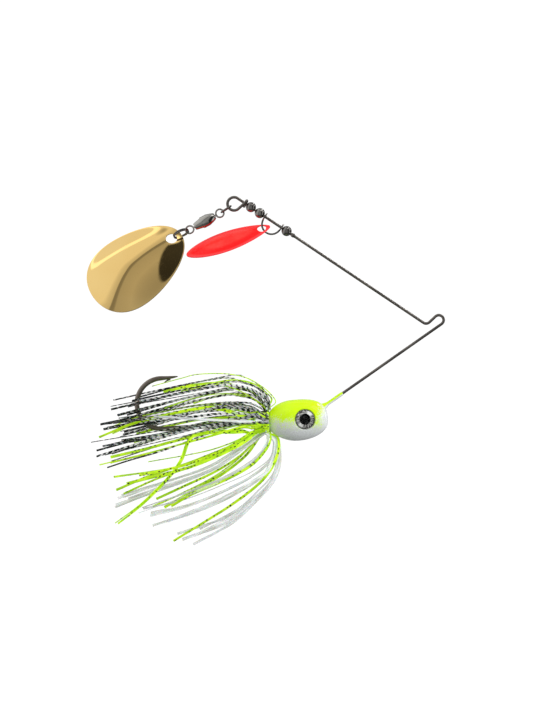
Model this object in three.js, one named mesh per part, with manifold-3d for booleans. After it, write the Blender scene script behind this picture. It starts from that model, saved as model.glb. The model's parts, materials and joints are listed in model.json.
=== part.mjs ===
// Spinnerbait: a bent wire form that carries a painted lead head, hook and skirt on its lower arm,
// and two spinner blades on its upper arm. Millimetres, +Z up, +X towards the direction of pull.
// The origin is the centre of the line-tie bend, and the wire form lies in the plane y = 0.
import * as THREE from "three";
import Module from "manifold-3d";
import { mergeVertices } from "three/addons/utils/BufferGeometryUtils.js";

const wasm = await Module();
wasm.setup();

// ---- Driving dimensions ----------------------------------------------------------------------
// Clearances
const RUN = 0.08; // between two wires that bear on each other
const PLAY = 0.1; // between pieces threaded on one wire
const CAST = 0.04; // between the cast lead and what it is cast around

// Wire form
const WIRE = { diameter: 0.89, tieRadius: 1.5, kneeRadius: 1.5, kneeRun: 2.57 };
const LOWER_ARM = { heading: 215, length: 42.9 };
const UPPER_ARM = { heading: 146.2, length: 66.6 };
const KNEE_HEADING = 223.3;
const LOOP = { radius: 2.05, halfAngle: 37.8, wrapTurn: 270, wrapAdvance: 0.35 };
const BEAD_STOP = { radius: 0.75, length: 1.3 };

// Head, with the shank of the hook as its axis
const HEAD = { length: 19.1, height: 12.8, width: 9.9, tilt: 3.8, backset: 9.6, drop: 5.2 };
const HEAD_FULLNESS = { topFront: 2.8, bottomFront: 2.1, topRear: 2.15, bottomRear: 1.85 };
const NOSE_BOSS = { radius: 1.5, length: 2.4, wall: 0.25 };
const KEEPER = { radius: 1.8, length: 5.8, lip: 0.35, lipLength: 0.7 };
const EYE = { radius: 3.05, forward: 2.4, up: 0.2, inset: 1.15, foil: 0.14, pupil: 1.65, dome: 1.4 };

// Hook
const HOOK = { diameter: 1.4, bendRadius: 7.87, shank: 41.4, point: 5.5, eyeRadius: 1.6, barb: 1.5 };

// Skirt: a silicone band, locks that fan out in front of it, and locks that trail behind it
const BAND = { wall: 0.9, length: 3.6 };
const FAN = { count: 12, root: [1.0, 0.4], body: [3.4, 1.0], tip: [2.2, 0.6] };
const TRAIL = { count: 4, length: 40, spread: 4.6, droop: 7 };

// Upper arm fittings
const BEAD = { radius: 1.6 };
const CLEVIS = { length: 6.6, depth: 3.9, thickness: 0.45, width: 0.62, eyelet: 1.3 };
const FRONT_BLADE = { length: 27.4, width: 8.2, cup: 1.3, thickness: 0.45, hole: 1.4, tipToHole: 2.7 };
const FRONT_POSE = { heading: 199.2, roll: 42, station: 0.31 };

// Swivel chain
const RING = { wire: 0.6, radius: 1.75, heading: 214 };
const EYELET = { wire: 0.56, radius: 1.25, neck: 0.45 };
const BARREL = { length: 7.2, radius: 1.85, mouth: 1, wall: 0.35, heading: 208.6, shoulder: 0.75 };
const SHANK = { headRadius: 0.75, headLength: 0.45 };
const BALLS = { count: 6, radius: 0.16 };
const SPLIT = { wire: 0.46, radius: 2.4, turns: 2, heading: 204, roll: 20 };
const REAR_BLADE = { length: 33.6, width: 23.2, cup: 4.6, thickness: 0.5, hole: 1.7, tipToHole: 3.3 };
const REAR_HEADING = 217.5;

// ---- Colours ---------------------------------------------------------------------------------
const FINISH = {
  wire: { color: 0x4d4a45, roughness: 0.3, metalness: 1 },
  hook: { color: 0x6b6259, roughness: 0.35, metalness: 1 },
  head: { color: 0xd6f500, roughness: 0.3, metalness: 0 },
  foil: { color: 0xb9b9b5, roughness: 0.25, metalness: 1 },
  pupil: { color: 0x070808, roughness: 0.4, metalness: 0 },
  dome: { color: 0xe8eef0, roughness: 0.05, metalness: 0 },
  band: { color: 0xc8e61e, roughness: 0.6, metalness: 0 },
  barred: { color: 0x3a3d3c, roughness: 0.4, metalness: 0 },
  chartreuse: { color: 0xbfee14, roughness: 0.45, metalness: 0 },
  white: { color: 0xe6ebe8, roughness: 0.45, metalness: 0 },
  nickel: { color: 0xb4b2ae, roughness: 0.15, metalness: 1 },
  steel: { color: 0x8f8c86, roughness: 0.25, metalness: 1 },
  gold: { color: 0xd9b35a, roughness: 0.12, metalness: 1 },
  red: { color: 0xff2a2a, roughness: 0.3, metalness: 0 },
};

// ---- Small helpers ---------------------------------------------------------------------------
const V = (x, y, z) => new THREE.Vector3(x, y, z);
const rad = THREE.MathUtils.degToRad;
const along = (degrees, reach = 1) => V(Math.cos(rad(degrees)) * reach, 0, Math.sin(rad(degrees)) * reach);
const part = new THREE.Group();

function add(parent, name, finish, geometry) {
  const mesh = new THREE.Mesh(geometry, new THREE.MeshStandardMaterial(FINISH[finish]));
  mesh.name = name;
  parent.add(mesh);
  return mesh;
}

// A group at a point, whose local +X has the given heading in the plane of the wire form.
function linkAt(parent, point, heading, roll = 0) {
  const group = new THREE.Group();
  group.position.copy(point);
  group.rotation.set(rad(roll), -rad(heading), 0, "YXZ");
  parent.add(group);
  return group;
}

// ---- Solids: joining and cutting -------------------------------------------------------------
function toSolid(geometry) {
  const bare = geometry.clone();
  bare.deleteAttribute("normal");
  bare.deleteAttribute("uv");
  const merged = mergeVertices(bare, 1e-4);
  const vertProperties = new Float32Array(merged.attributes.position.array);
  const triVerts = new Uint32Array(merged.index.array);
  return new wasm.Manifold(new wasm.Mesh({ numProp: 3, vertProperties, triVerts }));
}

function toGeometry(solid) {
  const mesh = solid.getMesh();
  const geometry = new THREE.BufferGeometry();
  geometry.setAttribute("position", new THREE.BufferAttribute(mesh.vertProperties, 3));
  geometry.setIndex(new THREE.BufferAttribute(mesh.triVerts, 1));
  return geometry;
}

const joined = (...geometries) => toGeometry(geometries.map(toSolid).reduce((a, b) => a.add(b)));
const cut = (body, ...tools) =>
  toGeometry(tools.map(toSolid).reduce((a, b) => a.subtract(b), toSolid(body)));

function cylinderAlong(axis, radius, from, to, sides = 20, radiusTo = radius) {
  const geometry = new THREE.CylinderGeometry(radiusTo, radius, to - from, sides);
  geometry.translate(0, (from + to) / 2, 0);
  if (axis === "x") geometry.rotateZ(-Math.PI / 2);
  if (axis === "z") geometry.rotateX(Math.PI / 2);
  return geometry;
}

// A closed body through a list of rings of points, each ring turning the same way about the path.
function skin(rings) {
  const sides = rings[0].length;
  const points = rings.flat();
  const index = [];
  for (let i = 0; i + 1 < rings.length; i++) {
    for (let j = 0; j < sides; j++) {
      const [a, b] = [i * sides + j, i * sides + ((j + 1) % sides)];
      index.push(a, b, b + sides, a, b + sides, a + sides);
    }
  }
  const last = (rings.length - 1) * sides;
  for (let j = 1; j + 1 < sides; j++) {
    index.push(0, j + 1, j, last, last + j, last + j + 1);
  }
  return new THREE.BufferGeometry().setFromPoints(points).setIndex(index);
}

// Sweeps an oval along points, with half-sizes from size(share, reach). The second one lies along up.
function sweep(points, size, sides = 8, up = V(0, 1, 0)) {
  const reach = [0];
  points.forEach((p, i) => i && reach.push(reach[i - 1] + p.distanceTo(points[i - 1])));
  const first = points[1].clone().sub(points[0]).normalize();
  let normal = Math.abs(first.dot(up)) > 0.9 ? V(0, 0, 1) : up.clone();
  return skin(
    points.map((p, i) => {
      const before = points[Math.max(i - 1, 0)];
      const tangent = points[Math.min(i + 1, points.length - 1)].clone().sub(before).normalize();
      normal = normal.addScaledVector(tangent, -normal.dot(tangent)).normalize();
      const side = tangent.clone().cross(normal);
      const [wide, thick] = size(reach[i] / reach.at(-1), reach[i]);
      return Array.from({ length: sides }, (_, j) => {
        const turn = (2 * Math.PI * (j + 0.5)) / sides;
        return p
          .clone()
          .addScaledVector(side, -wide * Math.cos(turn))
          .addScaledVector(normal, thick * Math.sin(turn));
      });
    }),
  );
}

const roundWire = (points, diameter, sides = 8) =>
  sweep(points, () => [diameter / 2, diameter / 2], sides);

// The hollow that a wire of this diameter needs, with a clearance all round.
const wireCoring = (points, diameter) => {
  const apothem = diameter + 2 * CAST;
  return roundWire(points, apothem / Math.cos(Math.PI / 12), 12);
};

// Bends wire as a person with pliers does: straight runs, and bends of a radius through an angle.
class Bender {
  constructor(start, direction) {
    this.points = [start.clone()];
    this.direction = direction.clone().normalize();
  }
  run(length) {
    this.points.push(this.points.at(-1).clone().addScaledVector(this.direction, length));
    return this;
  }
  // A positive angle turns the heading anticlockwise, as the wire form is seen from the front.
  bend(radius, degrees, axis = V(0, -1, 0), step = 18) {
    const start = this.points.at(-1).clone();
    const toCentre = axis.clone().cross(this.direction).multiplyScalar(radius * Math.sign(degrees));
    const centre = start.clone().add(toCentre);
    const count = Math.max(2, Math.ceil(Math.abs(degrees) / step));
    for (let i = 1; i <= count; i++) {
      const spoke = toCentre.clone().negate().applyAxisAngle(axis, (rad(degrees) * i) / count);
      this.points.push(centre.clone().add(spoke));
    }
    this.direction.applyAxisAngle(axis, rad(degrees));
    return this;
  }
}

// ---- The frame that the head, hook and skirt share: its +X runs along the shank to the nose ----
const wireRadius = WIRE.diameter / 2;
const lowerStart = along(LOWER_ARM.heading - 90, WIRE.tieRadius).negate();
const noseExit = lowerStart.clone().add(along(LOWER_ARM.heading, LOWER_ARM.length));
const headCentre = noseExit.clone().sub(V(HEAD.backset, 0, HEAD.drop));
const lure = linkAt(part, headCentre, HEAD.tilt);
lure.updateMatrixWorld(true);
const inLure = (point) => lure.worldToLocal(point.clone());

// ---- Wire form -------------------------------------------------------------------------------
// The inner end leaves the lower arm, passes beside the hook's eye and turns through it.
const hookRadius = HOOK.diameter / 2;
const eyeHole = HOOK.eyeRadius - hookRadius;
const hookEye = V(HEAD.length * 0.1, 0, 0); // centre of the hook's eye, in the lure's frame
const sideStep = hookRadius + wireRadius + 0.3;

function innerEnd() {
  const eye = lure.localToWorld(hookEye.clone());
  const toEye = new THREE.Vector3().subVectors(eye, noseExit).normalize();
  const beside = eye.clone().addScaledVector(toEye, -0.4 * eyeHole).add(V(0, sideStep, 0));
  const through = beside.clone().add(V(0, -2 * sideStep, 0));
  return { beside, through };
}

// Rounds the corner at b of the way a-b-c, giving the points of the arc.
function rounded(a, b, c, radius, count = 5) {
  const [u, v] = [a.clone().sub(b).normalize(), c.clone().sub(b).normalize()];
  const half = u.angleTo(v) / 2;
  const reach = radius / Math.tan(half);
  const centre = b.clone().add(u.clone().add(v).normalize().multiplyScalar(radius / Math.sin(half)));
  const first = b.clone().addScaledVector(u, reach).sub(centre);
  const last = b.clone().addScaledVector(v, reach).sub(centre);
  const axis = first.clone().cross(last).normalize();
  const turn = first.angleTo(last);
  return Array.from({ length: count + 1 }, (_, i) =>
    first.clone().applyAxisAngle(axis, (turn * i) / count).add(centre),
  );
}

function lowerArmPoints() {
  const { beside, through } = innerEnd();
  const inHead = noseExit.clone().addScaledVector(along(LOWER_ARM.heading), 2.2);
  const ways = [through, beside, inHead, lowerStart];
  return [
    through,
    ...rounded(ways[0], ways[1], ways[2], WIRE.diameter),
    ...rounded(ways[1], ways[2], ways[3], 2 * WIRE.diameter),
  ];
}

// The teardrop loop and its closing wrap, with the crossing's place along the upper arm.
const crossReach = WIRE.diameter + RUN;
function loopPoints(crossing) {
  const turn = 180 + 2 * LOOP.halfAngle;
  const leg = LOOP.radius / Math.tan(rad(LOOP.halfAngle));
  const loop = new Bender(crossing, along(UPPER_ARM.heading)).run(leg).bend(LOOP.radius, turn).run(leg);
  const flat = loop.points.slice(1);
  flat.forEach((p, i) => (p.y = -crossReach * Math.min(1, (i + 1) / (flat.length - 1))));
  return flat;
}

function wrapPoints(crossing) {
  const axis = along(UPPER_ARM.heading).negate();
  const count = Math.ceil(LOOP.wrapTurn / 22.5);
  return Array.from({ length: count }, (_, i) => {
    const share = (i + 1) / count;
    const spoke = V(0, -crossReach, 0).applyAxisAngle(axis, -rad(LOOP.wrapTurn) * share);
    return crossing.clone().add(spoke).addScaledVector(axis, LOOP.wrapAdvance * share);
  });
}

const tie = new Bender(lowerStart, along(LOWER_ARM.heading).negate())
  .bend(WIRE.tieRadius, KNEE_HEADING + 180 - LOWER_ARM.heading)
  .run(WIRE.kneeRun)
  .bend(WIRE.kneeRadius, UPPER_ARM.heading - KNEE_HEADING)
  .run(UPPER_ARM.length);
const crossing = tie.points.at(-1);
const wirePath = [...lowerArmPoints(), ...tie.points, ...loopPoints(crossing), ...wrapPoints(crossing)];

// Places on the upper arm are distances back from the crossing, towards the line tie.
const armFrame = linkAt(part, crossing, UPPER_ARM.heading + 180);
const beadBore = wireRadius + PLAY;
const wrapReach = Math.sqrt((BEAD.radius + wireRadius + PLAY) ** 2 - crossReach ** 2);
const beadAt = [LOOP.wrapAdvance + wrapReach];
beadAt.push(beadAt[0] + 2 * BEAD.radius + PLAY);
const clevisStart = beadAt[1] + BEAD.radius + PLAY;
const clevisEnd = clevisStart + CLEVIS.length;
beadAt.push(clevisEnd + PLAY + BEAD.radius);
const stopAt = beadAt[2] + BEAD.radius + PLAY + BEAD_STOP.length / 2;

const stop = new THREE.SphereGeometry(1, 8, 6).rotateZ(Math.PI / 2);
stop.scale(BEAD_STOP.length / 2, BEAD_STOP.radius, BEAD_STOP.radius);
armFrame.updateMatrixWorld(true);
stop.translate(stopAt, 0, 0).applyMatrix4(armFrame.matrixWorld);
add(part, "wire_form", "wire", joined(roundWire(wirePath, WIRE.diameter), stop));

// ---- Hook ------------------------------------------------------------------------------------
const shankEnd = hookEye.x - HOOK.shank - HEAD.length * 0.1;
function hookPoints() {
  const start = V(hookEye.x - HOOK.eyeRadius, 0, 0);
  return new Bender(start, V(-1, 0, 0))
    .run(start.x - shankEnd)
    .bend(HOOK.bendRadius, -180, V(0, -1, 0), 12)
    .run(HOOK.point * 0.25)
    .run(HOOK.point * 0.45)
    .run(HOOK.point * 0.3)
    .points;
}

const hookEyeTorus = (tube) =>
  new THREE.TorusGeometry(HOOK.eyeRadius, tube, 8, 18).rotateX(Math.PI / 2).translate(hookEye.x, 0, 0);

function hookGeometry() {
  const points = hookPoints();
  const total = points.reduce((sum, p, i) => sum + (i ? p.distanceTo(points[i - 1]) : 0), 0);
  const size = (_, reach) => {
    const left = THREE.MathUtils.clamp((total - reach) / HOOK.point, 0, 1);
    const r = hookRadius * (0.06 + 0.94 * Math.sqrt(left));
    return [r, r];
  };
  const body = sweep(points, size, 10);
  const eye = hookEyeTorus(hookRadius);
  const barb = new THREE.ConeGeometry(hookRadius * 0.45, HOOK.barb, 6).translate(0, HOOK.barb / 2, 0);
  barb.rotateZ(rad(125)).rotateX(Math.PI / 2);
  barb.rotateY(rad(22)).translate(shankEnd + 0.2, 0, 2 * HOOK.bendRadius - hookRadius * 0.55);
  return joined(body, eye, barb);
}
add(lure, "hook", "hook", hookGeometry());

// ---- Lead head -------------------------------------------------------------------------------
const smooth = (t) => t * t * (3 - 2 * t);
const mix = THREE.MathUtils.lerp;

// How far the head's skin lies from its centre in a direction: an egg whose fullness varies.
function headReach(d) {
  const [front, top] = [smooth((1 + d.x) / 2), smooth((1 + d.z) / 2)];
  const full = HEAD_FULLNESS;
  const below = mix(full.bottomRear, full.bottomFront, front);
  const n = mix(below, mix(full.topRear, full.topFront, front), top);
  const across = Math.hypot((2 * d.y) / HEAD.width, (2 * d.z) / HEAD.height);
  return (Math.abs((2 * d.x) / HEAD.length) ** n + across ** n) ** (-1 / n);
}

function headSkin() {
  const skinGeometry = new THREE.SphereGeometry(1, 24, 16).rotateZ(Math.PI / 2);
  const place = skinGeometry.attributes.position;
  for (let i = 0; i < place.count; i++) {
    const d = V(0, 0, 0).fromBufferAttribute(place, i).normalize();
    d.multiplyScalar(headReach(d));
    place.setXYZ(i, d.x, d.y, d.z);
  }
  return skinGeometry;
}

const keeperStart = -HEAD.length / 2 + 0.9;
const keeperEnd = keeperStart - KEEPER.length;
const eyeFloor = HEAD.width / 2 - EYE.inset;

function headGeometry() {
  const exit = inLure(noseExit);
  const outward = inLure(noseExit.clone().add(along(LOWER_ARM.heading + 180))).sub(exit);
  const bossTip = wireRadius + NOSE_BOSS.wall;
  const boss = cylinderAlong("x", NOSE_BOSS.radius, -NOSE_BOSS.length, 0.6, 14, bossTip);
  boss.applyQuaternion(new THREE.Quaternion().setFromUnitVectors(V(1, 0, 0), outward));
  boss.translate(exit.x, exit.y, exit.z);
  const keeper = cylinderAlong("x", KEEPER.radius, keeperEnd, keeperStart + 2, 18);
  const lipEnd = keeperEnd + KEEPER.lipLength;
  const lip = cylinderAlong("x", KEEPER.radius, keeperEnd, lipEnd, 18, KEEPER.radius + KEEPER.lip);
  const socket = cylinderAlong("y", EYE.radius + PLAY, eyeFloor, HEAD.width, 24);
  socket.translate(EYE.forward, 0, EYE.up);
  const sockets = [socket, socket.clone().rotateX(Math.PI).translate(0, 0, 2 * EYE.up)];
  const wirePoints = wirePath.slice(0, lowerArmPoints().length + 1).map(inLure);
  const past = wirePoints[0].clone().setY(wirePoints[0].y - CAST);
  const wireCore = wireCoring([past, ...wirePoints.slice(1)], WIRE.diameter);
  const shankCore = cylinderAlong("x", hookRadius + CAST * 1.5, keeperEnd - 1, hookEye.x - eyeHole, 14);
  const eyeCore = hookEyeTorus(hookRadius + 1.5 * CAST);
  return cut(joined(headSkin(), boss, keeper, lip), ...sockets, wireCore, shankCore, eyeCore);
}
add(lure, "lead_head", "head", headGeometry());

// ---- Eyes: a foil iris, a printed pupil and a clear dome in each socket ------------------------
for (const [side, label] of [[-1, "left"], [1, "right"]]) {
  const seat = new THREE.Group();
  seat.position.set(EYE.forward, side * eyeFloor, EYE.up);
  seat.rotation.z = side > 0 ? 0 : Math.PI;
  lure.add(seat);
  const pupilStart = EYE.foil + 2 * CAST;
  const domeStart = pupilStart + EYE.foil + CAST;
  add(seat, `eye_iris_${label}`, "foil", cylinderAlong("y", EYE.radius, CAST, CAST + EYE.foil, 24));
  const pupil = cylinderAlong("y", EYE.pupil, pupilStart, pupilStart + EYE.foil, 20);
  add(seat, `eye_pupil_${label}`, "pupil", pupil);
  const ball = (EYE.radius ** 2 + EYE.dome ** 2) / (2 * EYE.dome);
  const spread = Math.asin(EYE.radius / ball);
  const profile = [new THREE.Vector2(0, domeStart)];
  for (let i = 0; i <= 5; i++) {
    const turn = (spread * (5 - i)) / 5;
    const height = domeStart + EYE.dome - ball * (1 - Math.cos(turn));
    profile.push(new THREE.Vector2(ball * Math.sin(turn), height));
  }
  add(seat, `eye_dome_${label}`, "dome", new THREE.LatheGeometry(profile, 24));
}

// ---- Skirt -----------------------------------------------------------------------------------
const bandInner = KEEPER.radius + 2 * PLAY;
const bandEnd = keeperEnd + KEEPER.lipLength + 2 * PLAY;
const bandStart = bandEnd + BAND.length;
const bandOuter = bandInner + BAND.wall;
const bandProfile = [
  [bandInner, bandEnd],
  [bandOuter - 0.25, bandEnd],
  [bandOuter, bandEnd + 0.3],
  [bandOuter, bandStart - 0.3],
  [bandOuter - 0.25, bandStart],
  [bandInner, bandStart],
  [bandInner, bandEnd],
].map(([r, x]) => new THREE.Vector2(r, x));
add(lure, "skirt_band", "band", new THREE.LatheGeometry(bandProfile, 20).rotateZ(-Math.PI / 2));

// An oval that opens from the root to the body of a lock and closes towards its tip.
function lockSize(share) {
  const [near, far] = share < 0.45 ? [FAN.root, FAN.body] : [FAN.body, FAN.tip];
  const t = share < 0.45 ? share / 0.45 : (share - 0.45) / 0.55;
  return [mix(near[0], far[0], t) / 2, mix(near[1], far[1], t) / 2];
}

function lock(points, radial) {
  const curve = new THREE.CubicBezierCurve3(...points);
  return sweep(curve.getSpacedPoints(10), lockSize, 6, radial);
}

const FAN_KINDS = ["barred", "barred", "chartreuse", "chartreuse", "white", "white"];
const lockCount = {};
function addLock(kind, points, radial) {
  lockCount[kind] = (lockCount[kind] ?? 0) + 1;
  add(lure, `skirt_${kind}_${lockCount[kind]}`, kind, lock(points, radial));
}

// The fan: each lock springs out between the band and the head, bows and falls back and down.
for (let k = 0; k < FAN.count; k++) {
  const turn = (2 * Math.PI * (k + 0.5)) / FAN.count;
  const [c, s] = [Math.cos(turn), Math.sin(turn)];
  const radial = V(0, -s, c);
  const rise = c > 0 ? 14 : 16;
  const root = radial.clone().multiplyScalar(bandInner + 0.6).setX(bandStart + 0.5);
  const bow = V(bandStart + 5, -9 * s, rise * c);
  const fall = V(bandStart - 15, -13 * s, -4 + (rise + 8) * c);
  const tip = V(-60 + 15 * c * c, -11 * s, -9 + (c > 0 ? 19 : 26) * c);
  const place = k < FAN.count / 2 ? k : FAN.count - 1 - k;
  addLock(FAN_KINDS[place], [root, bow, fall, tip], radial);
}

// The trailing locks: they lie along both sides of the shank.
for (let k = 0; k < TRAIL.count; k++) {
  const turn = (2 * Math.PI * (k + 0.5)) / TRAIL.count;
  const radial = V(0, Math.cos(turn), Math.sin(turn));
  const start = keeperEnd - 0.6;
  const out = (reach, x, drop) => radial.clone().multiplyScalar(reach).add(V(x, 0, -drop));
  const points = [
    out(1.9, start, 0),
    out(3, start - TRAIL.length * 0.3, 0),
    out(TRAIL.spread, start - TRAIL.length * 0.6, TRAIL.droop * 0.2),
    out(TRAIL.spread + 1, start - TRAIL.length, TRAIL.droop),
  ];
  addLock(k < 2 ? "barred" : "chartreuse", points, radial);
}

// ---- Beads on the upper arm ------------------------------------------------------------------
function beadGeometry() {
  const open = Math.asin(beadBore / BEAD.radius);
  const profile = Array.from({ length: 10 }, (_, i) => {
    const turn = open + ((Math.PI - 2 * open) * i) / 9;
    return new THREE.Vector2(BEAD.radius * Math.sin(turn), -BEAD.radius * Math.cos(turn));
  });
  return new THREE.LatheGeometry([...profile, profile[0].clone()], 16).rotateZ(-Math.PI / 2);
}
["bead_rear", "bead_middle", "bead_front"].forEach((name, i) => {
  add(armFrame, name, "nickel", beadGeometry()).position.x = beadAt[i];
});

// ---- Clevis: a strip bent into a stirrup, with an eyelet on the wire at each end ----------------
// Its bow hangs below the arm. share runs from the rear eyelet to the front one.
const clevisHalf = CLEVIS.length / 2 - CLEVIS.thickness / 2;
function clevisPoint(share) {
  const turn = Math.PI * (1 - share);
  const middle = clevisStart + CLEVIS.length / 2;
  return V(middle + clevisHalf * Math.cos(turn), 0, -CLEVIS.depth * Math.sin(turn) ** 0.8);
}

function clevisGeometry() {
  const curve = Array.from({ length: 15 }, (_, i) => clevisPoint(i / 14));
  const strip = sweep(curve, () => [CLEVIS.thickness / Math.SQRT2, CLEVIS.width / Math.SQRT2], 4);
  const eyelets = [clevisStart, clevisEnd - CLEVIS.thickness].map((x) =>
    cylinderAlong("x", CLEVIS.eyelet, x, x + CLEVIS.thickness, 16),
  );
  const bore = cylinderAlong("x", beadBore, clevisStart - 1, clevisEnd + 1, 12);
  return cut(joined(strip, ...eyelets), bore);
}
const clevis = new THREE.Group();
armFrame.add(clevis);
add(clevis, "clevis", "steel", clevisGeometry());

// ---- Spinner blades --------------------------------------------------------------------------
// A cupped sheet in the local XZ plane with its hole at the origin and its body towards +X.
// half(t) is the half-width at share t of the length. The cup bulges towards -Y, and the sheet is
// at y = 0 where the hole is.
function bladeGeometry(blade, half, belly, rings, sides) {
  const tip = -blade.tipToHole;
  const centre = V(tip + blade.length * belly, 0, 0);
  const outline = Array.from({ length: sides }, (_, j) => {
    const turn = (2 * Math.PI * j) / sides;
    const t = (1 - Math.cos(turn)) / 2;
    return V(tip + blade.length * t, 0, Math.sign(Math.sin(turn)) * half(t));
  });
  const bulge = (share) => blade.cup * (1 - share ** 2) ** 1.15;
  const level = bulge(centre.x / (centre.x - tip)) - blade.thickness / 2;
  const shares = [0.05, ...Array.from({ length: rings }, (_, k) => (k + 1) / rings)];
  const layer = (share, lift) =>
    outline.map((p) => centre.clone().lerp(p, share).setY(level - bulge(share) + lift));
  const sheet = (lift) => shares.map((share) => layer(share, lift));
  const body = skin([...sheet(0), ...sheet(blade.thickness).reverse()]);
  return cut(body, cylinderAlong("y", blade.hole, -blade.cup - 2, blade.cup + 2, 20));
}

// A drop: a wide round end, and flanks that close to a rounded tip at the hole.
const dropHalf = (blade) => (t) =>
  blade.width * Math.sqrt(Math.max(0, t * (1 - t))) * (0.86 + 0.08 * t + 0.36 * t * t);
// A willow leaf: pointed at both ends, and slimmer towards the hole.
const leafHalf = (blade) => (t) => (blade.width / 2) * Math.max(0, Math.sin(Math.PI * t ** 1.12)) ** 0.55;

// ---- Front blade, threaded on the clevis -------------------------------------------------------
const contact = clevisPoint(FRONT_POSE.station);
const frontPivot = armFrame.localToWorld(contact.clone());
const frontBlade = linkAt(part, frontPivot, FRONT_POSE.heading, FRONT_POSE.roll);
const frontInset = FRONT_BLADE.hole - CLEVIS.thickness / 2 - 0.85;
const leaf = bladeGeometry(FRONT_BLADE, leafHalf(FRONT_BLADE), 0.5, 4, 32);
add(frontBlade, "front_blade", "red", leaf).position.x = frontInset;

// ---- Swivel chain ------------------------------------------------------------------------------
// Each link's group sits at the wire it turns on, with +X towards the next link.
const loopCentre = crossing
  .clone()
  .addScaledVector(along(UPPER_ARM.heading), LOOP.radius / Math.tan(rad(LOOP.halfAngle)))
  .addScaledVector(along(UPPER_ARM.heading + 90), LOOP.radius);
const ringRadius = RING.wire / 2;
const eyeWire = EYELET.wire / 2;
const torus = (radius, tube, sides = 18) => new THREE.TorusGeometry(radius, tube, 8, sides);

// The loop drifts towards the front as it closes, so the ring sits at the depth of the wire it meets.
const loopRest = loopCentre.clone().add(along(RING.heading, LOOP.radius));
const depthAt = (p) => p.clone().setY(0).distanceTo(loopRest);
const nearest = loopPoints(crossing).reduce((a, b) => (depthAt(b) < depthAt(a) ? b : a));
const ringPivot = loopRest.clone().setY(nearest.y);
const ringLink = linkAt(part, ringPivot, RING.heading);
const ringSeat = wireRadius + ringRadius + RUN;
add(ringLink, "swivel_ring", "steel", torus(RING.radius, ringRadius)).position.x = RING.radius - ringSeat;

// The swivel's two eyes have shanks that end in heads inside the barrel.
const upperLink = linkAt(ringLink, V(2 * RING.radius - ringSeat, 0, 0), BARREL.heading - RING.heading);
const eyeSeat = ringRadius + eyeWire + RUN;
const upperEyeCentre = EYELET.radius - eyeSeat;
const barrelStart = upperEyeCentre + EYELET.radius + EYELET.neck;

function eyeGeometry(centre, shankTo, direction) {
  const eye = torus(EYELET.radius, eyeWire).rotateX(Math.PI / 2).translate(centre, 0, 0);
  const root = centre + direction * EYELET.radius;
  const [a, b] = [root, shankTo].sort((x, y) => x - y);
  const shank = cylinderAlong("x", eyeWire, a, b, 10);
  const headEnd = shankTo + direction * SHANK.headLength;
  const [c, d] = [shankTo - direction * 0.05, headEnd].sort((x, y) => x - y);
  return joined(eye, shank, cylinderAlong("x", SHANK.headRadius, c, d, 12));
}
const headInset = BARREL.shoulder + 2 * PLAY + 2 * BALLS.radius + PLAY;
add(upperLink, "swivel_upper_eye", "nickel", eyeGeometry(upperEyeCentre, barrelStart + headInset, 1));

const barrel = linkAt(upperLink, V(barrelStart, 0, 0), 0);
// The barrel's outside, as a radius at each share of its length: a long flank, a belly and a cone.
const barrelOutline = [
  [0, BARREL.mouth * 0.95],
  [0.07, BARREL.mouth * 1.25],
  [0.36, BARREL.radius],
  [0.64, BARREL.radius],
  [0.68, BARREL.radius * 0.84],
  [0.93, BARREL.mouth * 1.2],
  [1, BARREL.mouth],
];

function barrelRadius(share) {
  const next = barrelOutline.findIndex(([at]) => at >= share);
  if (next <= 0) return barrelOutline[0][1];
  const [a, b] = [barrelOutline[next - 1], barrelOutline[next]];
  return mix(a[1], b[1], (share - a[0]) / (b[0] - a[0]));
}

// The chamber follows the outside at a constant wall, between two thick ends that the shanks pass.
function barrelGeometry() {
  const bore = eyeWire + PLAY;
  const { length, wall, shoulder } = BARREL;
  const end = shoulder / length;
  const outside = barrelOutline.map(([share, r]) => [r, share * length]);
  const inside = (share) => [barrelRadius(share) - wall, share * length];
  const chamber = [1 - end, 0.68, 0.62, 0.38, end].map(inside);
  const mouths = [[bore, length], [bore, length - shoulder], ...chamber, [bore, shoulder]];
  const profile = [[bore, 0], ...outside, ...mouths, [bore, 0]].map(([r, x]) => new THREE.Vector2(r, x));
  return new THREE.LatheGeometry(profile, 16).rotateZ(-Math.PI / 2);
}
add(barrel, "swivel_barrel", "nickel", barrelGeometry());

// A ring of bearing balls, held by a thin cage, between each shank's head and the barrel's end.
function ballCage() {
  const pitch = (eyeWire + PLAY + SHANK.headRadius) / 2;
  const cage = new THREE.TorusGeometry(pitch, BALLS.radius / 2, 4, 18).rotateY(Math.PI / 2);
  const balls = Array.from({ length: BALLS.count }, (_, i) => {
    const turn = (2 * Math.PI * i) / BALLS.count;
    const ball = new THREE.SphereGeometry(BALLS.radius, 7, 5);
    return ball.translate(0, pitch * Math.cos(turn), pitch * Math.sin(turn));
  });
  return joined(cage, ...balls);
}
const cageInset = BARREL.shoulder + PLAY + BALLS.radius;
add(barrel, "swivel_upper_bearing", "steel", ballCage()).position.x = cageInset;
add(barrel, "swivel_lower_bearing", "steel", ballCage()).position.x = BARREL.length - cageInset;

const lowerEyeReach = EYELET.neck + EYELET.radius;
const lowerLink = linkAt(barrel, V(BARREL.length, 0, 0), 0, SPLIT.roll);
add(lowerLink, "swivel_lower_eye", "nickel", eyeGeometry(lowerEyeReach, -headInset, -1));

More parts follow.
